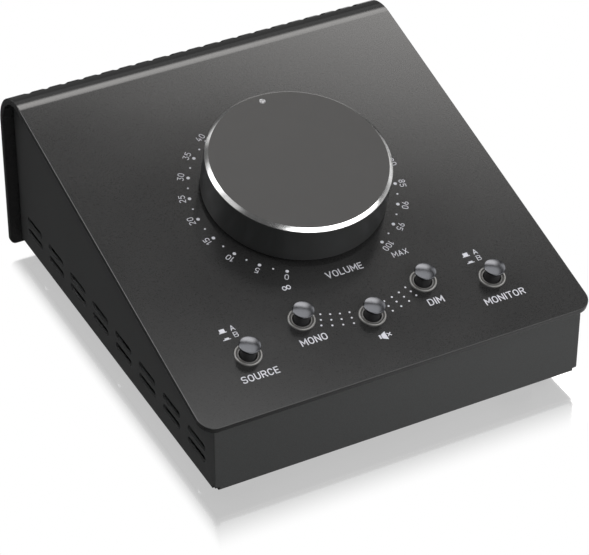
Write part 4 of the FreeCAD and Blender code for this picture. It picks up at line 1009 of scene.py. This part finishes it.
@dataclass
class PanelPrint:
    """Scale, legends and dots printed on the panel.

    A word has its text, place, width and height. A bar has its left, right, low and high side and
    the share of its height that its left end keeps.
    """

    stroke: float = 1.0
    number_stroke: float = 0.74
    small_print: float = 2.2
    letter_gap: float = 2.1
    ring: float = 32.235
    number_ring: float = 34.52
    number_height: float = 2.05
    numbers: int = 21
    step_angle: float = 15.0
    first: float = -150.0
    big_dot: float = 1.1
    small_dot: float = 0.62
    dot_steps: int = 16
    arc_dot: float = 0.62
    arc_middle: float = -12.28
    arc_rings: tuple = (36.83, 38.96, 41.06)
    arc_angles: tuple = (9.15, 13.745, 18.315, 22.9)
    arc_step: float = 18.0
    lift: float = 0.02
    words: tuple = (("SOURCE", -40.96, -60.05, 11.93, 2.5), ("MONO", -20.46, -54.0, 8.64, 2.55),
                    ("DIM", 20.54, -54.0, 5.2, 2.55), ("MONITOR", 41.0, -60.05, 13.6, 2.5),
                    ("VOLUME", 0.1, -33.75, 12.2, 2.5), ("MAX", 19.25, -33.64, 5.2, 2.1),
                    ("A", -41.0, -41.4, 1.43, 1.93), ("B", -41.0, -43.95, 1.43, 1.93),
                    ("A", 41.0, -41.4, 1.43, 1.93), ("B", 41.0, -43.95, 1.43, 1.93))
    endless: tuple = (-19.2, -33.55)
    endless_radii: tuple = (0.68, 0.40)
    endless_stretch: tuple = (1.05, 1.28)
    endless_steps: int = 20
    speaker: tuple = ((-1.93, -1.36, -61.0, -59.57, 1.0), (-1.14, 0.43, -61.9, -58.8, 0.46))
    cross: tuple = (1.35, -60.25)
    cross_size: tuple = (0.86, 0.15)
    state_signs: tuple = ((-45.5, -43.1, -42.3, -42.0), (-45.14, -43.5, -42.0, -40.8),
                          (-45.5, -43.0, -45.0, -44.75), (-44.9, -43.5, -44.75, -44.25))
    state_shifts: tuple = (0.0, 82.0)
    bench: Bench = field(default_factory=Bench)

    def _dot(self, u: float, v: float, size: float) -> None:
        """Add a round dot."""
        bmesh.ops.create_circle(self.bench.bm, cap_ends=True, segments=self.dot_steps, radius=size / 2,
                                matrix=Matrix.Translation((u, v, self.lift)))

    def _slab(self, place: Matrix, half_length: float, half_width: float) -> list:
        """Add a rectangle and return its vertices."""
        return bmesh.ops.create_grid(self.bench.bm, x_segments=1, y_segments=1, size=1.0,
                                     matrix=place @ Matrix.Diagonal((half_length, half_width, 1, 1)))["verts"]

    def _bar(self, left: float, right: float, low: float, high: float, lean: float = 1.0) -> None:
        """Add a bar whose left end is narrowed.

        Args:
            left: Its left side.
            right: Its right side.
            low: Its lower side.
            high: Its upper side.
            lean: Share of its height that the left end keeps.
        """
        u, v = (left + right) / 2, (low + high) / 2
        place = Matrix.Translation((u, v, self.lift))
        for vert in self._slab(place, (right - left) / 2, (high - low) / 2):
            if vert.co.x < u:
                vert.co.y = v + (vert.co.y - v) * lean

    def _stroke(self, stroke: Sequence[float], thick: float) -> list:
        """Add one stroke of a letter: a straight one from four numbers, an arc from five.

        Args:
            stroke: Start and end of a line, or middle, radius, first and last angle of an arc.
            thick: Thickness of the stroke.

        Returns:
            The stroke's vertices.
        """
        if len(stroke) == 4:
            start, end = Vector((*stroke[:2], 0.0)), Vector((*stroke[2:], 0.0))
            way = end - start
            place = Matrix.Translation((start + end) / 2) @ Matrix.Rotation(math.atan2(way.y, way.x), 4, "Z")
            return self._slab(place, (way.length + thick) / 2, thick / 2)
        x, y, radius, first, last = stroke
        before = set(self.bench.bm.verts)
        turn = Matrix.Translation((x, y, 0.0)) @ Matrix.Rotation(math.radians(first), 4, "Z")
        ends = [self.bench.bm.verts.new(turn @ Vector((radius + side * thick / 2, 0.0, 0.0)))
                for side in (-1, 1)]
        edge = self.bench.bm.edges.new(ends)
        bmesh.ops.spin(self.bench.bm, geom=[*ends, edge], cent=(x, y, 0.0), axis=(0, 0, 1),
                       angle=math.radians(last - first), steps=max(4, round((last - first) / self.arc_step)),
                       use_merge=last - first >= 360, use_duplicate=False)
        return [vert for vert in self.bench.bm.verts if vert not in before]

    def _word(self, text: str, place: Matrix, width: float | None, height: float) -> None:
        """Add a word, scaled to its printed width and height.

        Args:
            text: The word.
            place: Its middle and turn on the panel.
            width: Its width, or none to keep the letters' own.
            height: Its height.
        """
        thick = self.stroke if height > self.small_print else self.number_stroke
        at, verts = 0.0, []
        for letter in text:
            wide, strokes = GLYPHS[letter]
            for stroke in strokes:
                added = self._stroke(stroke, thick)
                bmesh.ops.translate(self.bench.bm, vec=(at, 0.0, 0.0), verts=added)
                verts += added
            at += wide + self.letter_gap
        at -= self.letter_gap
        tall = height / (GLYPH_HEIGHT + thick)
        broad = tall if width is None else width / (at + thick)
        middle = Matrix.Translation((-at / 2, -GLYPH_HEIGHT / 2, 0.0))
        bmesh.ops.transform(self.bench.bm, matrix=place @ Matrix.Diagonal((broad, tall, 1.0, 1.0)) @ middle,
                            verts=verts)

    def _scale(self) -> None:
        """Add the dial's numbers and its dots, a small one halfway between two numbers."""
        for half in range(2 * self.numbers - 1):
            turn = Matrix.Rotation(-math.radians(self.first + half * self.step_angle / 2), 4, "Z")
            dot = turn @ Vector((0.0, self.ring, 0.0))
            self._dot(dot.x, dot.y, self.small_dot if half % 2 else self.big_dot)
            if half % 2 == 0:
                place = turn @ Matrix.Translation((0.0, self.number_ring, self.lift))
                self._word(str(half // 2 * 5), place, None, self.number_height)

    def _arcs(self) -> None:
        """Add the rows of dots between the mute button and its neighbours."""
        for ring in self.arc_rings:
            for angle in self.arc_angles:
                for side in (-1, 1):
                    turn = math.radians(angle)
                    self._dot(side * ring * math.sin(turn), self.arc_middle - ring * math.cos(turn),
                              self.arc_dot)

    def _signs(self) -> None:
        """Add the endless sign, the muted loudspeaker and the signs of the switches' two states."""
        u, v = self.endless
        for side in (-1, 1):
            place = Matrix.Translation((u + side * self.endless_radii[0], v, self.lift))
            place = place @ Matrix.Diagonal((*self.endless_stretch, 1.0, 1.0))
            self.bench.ring_face(*(self.bench.outline(radius, self.endless_steps, place)
                                   for radius in self.endless_radii))
        for bar in self.speaker:
            self._bar(*bar)
        for turn in (-45.0, 45.0):
            place = (Matrix.Translation((*self.cross, self.lift))
                     @ Matrix.Rotation(math.radians(turn), 4, "Z"))
            self._slab(place, *self.cross_size)
        for shift in self.state_shifts:
            for left, right, low, high in self.state_signs:
                self._bar(left + shift, right + shift, low, high)

    def build(self) -> None:
        """Make the print."""
        self._scale()
        self._arcs()
        self._signs()
        for text, u, v, width, height in self.words:
            self._word(text, Matrix.Translation((u, v, self.lift)), width, height)
        for face in self.bench.bm.faces:
            if face.normal.z < 0:
                face.normal_flip()
        self.bench.piece("panel_print", "case", [Finish.print_ink], PANEL)


# ------------------------------------------------------------------ carried-over nodes
@dataclass
class Chassis:
    """The solids that keep their shape: each gets its finish, and some a smooth skin."""

    smooth: tuple = ("body_shell", "base_tray", "rubber_feet", "base_screws", "rear_screws",
                     "jack_nuts", "jack_washers", "jack_monitor", "jack_source")
    seam: float = 1e-6
    sharp: float = 30.0

    def _skin(self, node: bpy.types.Object, finish: Finish) -> None:
        """Stand a merged, smoothly shaded copy in for a node.

        Args:
            node: The node's object.
            finish: Its finish, which is named as its material slot.
        """
        bench = Bench()
        bench.bm.from_mesh(node.data)
        bench.merge(self.seam)
        for face in bench.bm.faces:
            face.material_index = 0
        bench.shade(self.sharp)
        skin = bench.piece(node.name + "_skin", node["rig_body"], [finish], Matrix())
        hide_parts(node.name)

    def build(self, frame: dict) -> None:
        """Dress every node.

        Args:
            frame: The loaded frame.
        """
        slots = {row["node"]: row["material_slot"] for row in frame["record"]["subparts"]}
        for name, node in frame["nodes"].items():
            finish = Finish[slots[name]]
            node.data.materials.clear()
            node.data.materials.append(finish.material)
            if name.startswith(self.smooth):
                self._skin(node, finish)


# ------------------------------------------------------------------ studio
@dataclass(frozen=True)
class Softbox:
    """A lit rectangle far away. Angles are in degrees, azimuth from the rear to the right."""

    azimuth: float
    elevation: float
    half_width: float
    below: float
    above: float
    strength: float
    colour: Colour = (1.0, 1.0, 1.0)
    side_edge: float = 3.0
    low_edge: float = 3.0
    high_edge: float = 3.0

    def glow(self, graph: Graph, toward: Value) -> Value:
        """Light that comes from the box.

        Args:
            graph: The world's graph.
            toward: Direction that is looked in.

        Returns:
            The box's light as a colour.
        """
        turn = (Matrix.Rotation(math.radians(-self.azimuth), 3, "Z")
                @ Matrix.Rotation(math.radians(self.elevation), 3, "X"))
        right, forward, over = (graph.vector("DOT_PRODUCT", {0: toward, 1: turn @ axis}, "Value")
                                for axis in Matrix.Identity(3))
        side, up = (graph.maths("ARCTAN2", part, forward) * math.degrees(1.0) for part in (right, over))
        shape = graph.span(abs(side), self.half_width - self.side_edge, self.half_width + self.side_edge,
                           1.0, 0.0)
        shape = shape * graph.span(up, -self.below - self.low_edge, -self.below + self.low_edge)
        shape = shape * graph.span(up, self.above - self.high_edge, self.above + self.high_edge, 1.0, 0.0)
        return graph.vector("SCALE", {0: self.colour, "Scale": shape * self.strength})


@dataclass
class Floor:
    """Pale floor, rising to a wall all round, with a painted shadow of the object and a fading mirror image.

    The room field holds the floor's reach, the radius of its rise and the wall's height. The
    footprint field holds the half width, half depth and middle of what stands on the floor. Levels
    come in pairs: where a step starts and where it ends, or the tones there.
    """

    room: tuple[float, float, float] = (6000.0, 600.0, 1300.0)
    cove_angle: int = 15
    footprint: tuple[float, float, float] = (61.4, 69.4, -3.8)
    mirror: float = 0.94
    mirror_heights: tuple[float, float] = (2.5, 15.0)
    mirror_rough: float = 0.10
    rise: tuple[float, float] = (2.1, 0.836)
    backdrop: float = 0.5
    # Reach, tone and samples of the painted contact shadow on the glowing floor.
    contact: float = 12.0
    contact_tone: float = 0.94
    contact_samples: int = 16
    # Painted shade near the object and a painted band of light further off, both seen only by glossy rays.
    dark_reach: tuple[float, float] = (60.0, 260.0)
    dark_tone: tuple[float, float] = (0.06, 0.13)
    pale_near: tuple[float, float] = (300.0, 700.0)
    pale_far: tuple[float, float] = (2500.0, 4000.0)
    pale_side: tuple[float, float] = (-80.0, 80.0)
    pale_tone: float = 0.5
    pale_lean: float = 0.6
    pale_rear: tuple[float, float] = (40.0, 160.0)
    matt: float = 0.3

    def _ground(self, material: bpy.types.Material) -> bpy.types.Object:
        """Turn the floor with its rise and wall.

        Args:
            material: The floor's material.

        Returns:
            The floor.
        """
        reach, cove, top = self.room
        angles = [math.radians(angle) for angle in range(0, 91, self.cove_angle)]
        profile = [(reach - cove * (1 - math.sin(angle)), cove * (1 - math.cos(angle)))
                   for angle in angles]
        bench = Bench()
        bench.spin([(0.0, 0.0), *profile, (reach, top)], FINE_STEPS, Matrix())
        bmesh.ops.reverse_faces(bench.bm, faces=[face for face in bench.bm.faces if face.normal.z < 0])
        for face in bench.bm.faces:
            face.smooth = True
        return bench.settle("floor", [material], TABLE)

    def _image(self, graph: Graph, out: Sequence[Value]) -> Value:
        """Share of the mirror image, which fades with the height that it shows outside the footprint."""
        height = graph.maths("MAXIMUM", *(part * rise for part, rise in zip(out, self.rise)))
        return graph.span(height, *self.mirror_heights, self.mirror, 0.0)

    def _mirrored(self, graph: Graph, x: Value, y: Value, out: Sequence[Value]) -> Value:
        """Tone that the object's surfaces mirror: painted shade close by, a painted band of light further off
        to the right.

        Args:
            graph: The floor's graph.
            x: Place across the floor.
            y: Place along it.
            out: How far it lies outside the footprint, across and along.

        Returns:
            The tone.
        """
        away = (out[0] * out[0] + out[1] * out[1]) ** 0.5
        # Painted shade: the floor seen by glossy rays darkens close to the object.
        dark = graph.span(away, *self.dark_reach, *self.dark_tone)
        behind = graph.maths("MAXIMUM", y, 0.0)
        # Painted light: a pale band further off, brighter to the right and behind.
        band = graph.span(away, *self.pale_near, 1.0, 0.0) + graph.span(away, *self.pale_far)
        right = graph.span(x - behind * self.pale_lean, *self.pale_side, 0.0, self.pale_tone)
        return dark + right * (1.0 + graph.span(y, *self.pale_rear)) * band

    def _finish(self) -> bpy.types.Material:
        """Make the floor's material.

        Returns:
            The material.
        """
        material, graph = new_graph("floor")
        x, y, _ = graph.split(graph.place())
        half_x, half_y, middle = self.footprint
        out = [graph.maths("MAXIMUM", part, 0.0) for part in (abs(x) - half_x, abs(y - middle) - half_y)]
        image = self._image(graph, out)
        plain = (1.0 - image * self.backdrop) / (1.0 - image)
        # Painted contact shadow: ambient occlusion darkens the floor's glowing white next to the object.
        near = graph.node("ShaderNodeAmbientOcclusion", {"samples": self.contact_samples},
                          {"Distance": self.contact * MM}, output="AO")
        paths = graph.node("ShaderNodeLightPath").socket.node.outputs
        camera, gloss, through = (Value(graph, paths[f"Is {ray} Ray"])
                                  for ray in ("Camera", "Glossy", "Transmission"))
        shown = plain * graph.span(near, 0.0, 1.0, self.contact_tone, 1.0) * (1.0 - gloss)
        # Glossy rays see the painted shade and band of light in place of the plain white.
        tone = shown + self._mirrored(graph, x, y, out) * gloss
        white = graph.node("ShaderNodeEmission", {}, {"Color": graph.gather(tone, tone, tone)})
        mirror = graph.node("ShaderNodeBsdfGlossy", {}, {"Color": (1.0, 1.0, 1.0, 1.0),
                                                         "Roughness": self.mirror_rough})
        polished = graph.node("ShaderNodeMixShader", {}, {0: image * (1.0 - gloss), 1: white, 2: mirror})
        matt = graph.node("ShaderNodeBsdfDiffuse", {}, {"Color": (self.matt, self.matt, self.matt, 1.0)})
        shader = graph.node("ShaderNodeMixShader", {}, {0: camera + gloss + through, 1: matt, 2: polished})
        graph.node("ShaderNodeOutputMaterial", {}, {"Surface": shader})
        return material

    def build(self) -> None:
        """Make the floor."""
        floor = self._ground(self._finish())


@dataclass
class Studio:
    """Camera, soft light and floor."""

    focal: float = 167.67
    sensor: float = 36.0
    clip: tuple[float, float] = (0.01, 50.0)
    eye: tuple[float, float, float] = (-319.7, -612.8, 525.3)
    azimuth: float = -27.753
    elevation: float = 36.497
    roll: float = 0.19
    sky: float = 0.12
    boxes: tuple = (Softbox(33.5, 47.5, 13.6, 6.9, 9.7, 4.95, (1.0, 0.98, 0.96), 5.6, 4.2, 3.1),
                    Softbox(-64.0, 37.0, 27.0, 11.0, 12.0, 0.8),
                    Softbox(158.0, 31.0, 43.0, 14.0, 14.0, 4.0),
                    Softbox(25.6, 85.9, 26.0, 19.9, 12.0, 2.3, side_edge=5.0, low_edge=1.6),
                    Softbox(27.8, 30.0, 22.0, 8.0, 9.0, 0.25),
                    Softbox(-54.0, 46.0, 9.0, 20.0, 20.0, 4.0, side_edge=4.0),
                    Softbox(78.0, 30.0, 12.0, 15.0, 18.0, 2.2),
                    Softbox(-4.0, 18.0, 9.0, 9.0, 6.0, 1.2, side_edge=4.0))

    def _camera(self) -> None:
        """Place the camera."""
        azimuth, elevation = math.radians(self.azimuth), math.radians(self.elevation)
        back = Vector((math.sin(azimuth) * math.cos(elevation), -math.cos(azimuth) * math.cos(elevation),
                       math.sin(elevation)))
        right = Vector((math.cos(azimuth), math.sin(azimuth), 0.0))
        turn = Matrix((right, back.cross(right), back)).transposed().to_4x4()
        lens = bpy.data.cameras.new("camera")
        lens.lens = self.focal
        lens.sensor_width = self.sensor
        lens.clip_start, lens.clip_end = self.clip
        holder = bpy.data.objects.new("camera", lens)
        holder.matrix_world = (Matrix.Translation(Vector(self.eye) * MM) @ turn
                               @ Matrix.Rotation(math.radians(self.roll), 4, "Z"))
        bpy.context.scene.collection.objects.link(holder)
        bpy.context.scene.camera = holder

    def _light(self) -> None:
        """Hang the softboxes in a dim sky."""
        world = bpy.data.worlds.new("studio")
        world.use_nodes = True
        graph = Graph(world.node_tree)
        toward = graph.node("ShaderNodeTexCoord", output="Generated")
        light = graph.gather(self.sky, self.sky, self.sky)
        for box in self.boxes:
            light = graph.vector("ADD", {0: light, 1: box.glow(graph, toward)})
        shader = graph.node("ShaderNodeBackground", {}, {"Color": light, "Strength": 1.0})
        graph.node("ShaderNodeOutputWorld", {}, {"Surface": shader})
        bpy.context.scene.world = world

    def build(self) -> None:
        """Set up the studio."""
        self._camera()
        self._light()
        Floor().build()
        bpy.context.scene.view_settings.view_transform = "Standard"


def corners(pair: Iterable[Vector]) -> list[list[float]]:
    """Two corners as plain lists."""
    return [list(corner) for corner in pair]


def main() -> None:
    """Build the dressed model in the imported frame."""
    logging.basicConfig(level=logging.INFO, format="%(name)s %(message)s")
    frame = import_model()
    Chassis().build(frame)
    TopCover().build()
    VolumeKnob().build()
    names = ("source", "mono", "mute", "dim", "monitor")
    for name, (u, v) in zip(names, TopCover.buttons):
        PushButton(name, u, v).build()
    PanelPrint().build()
    Studio().build()
    bpy.context.view_layer.update()


if __name__ == "__main__":
    main()
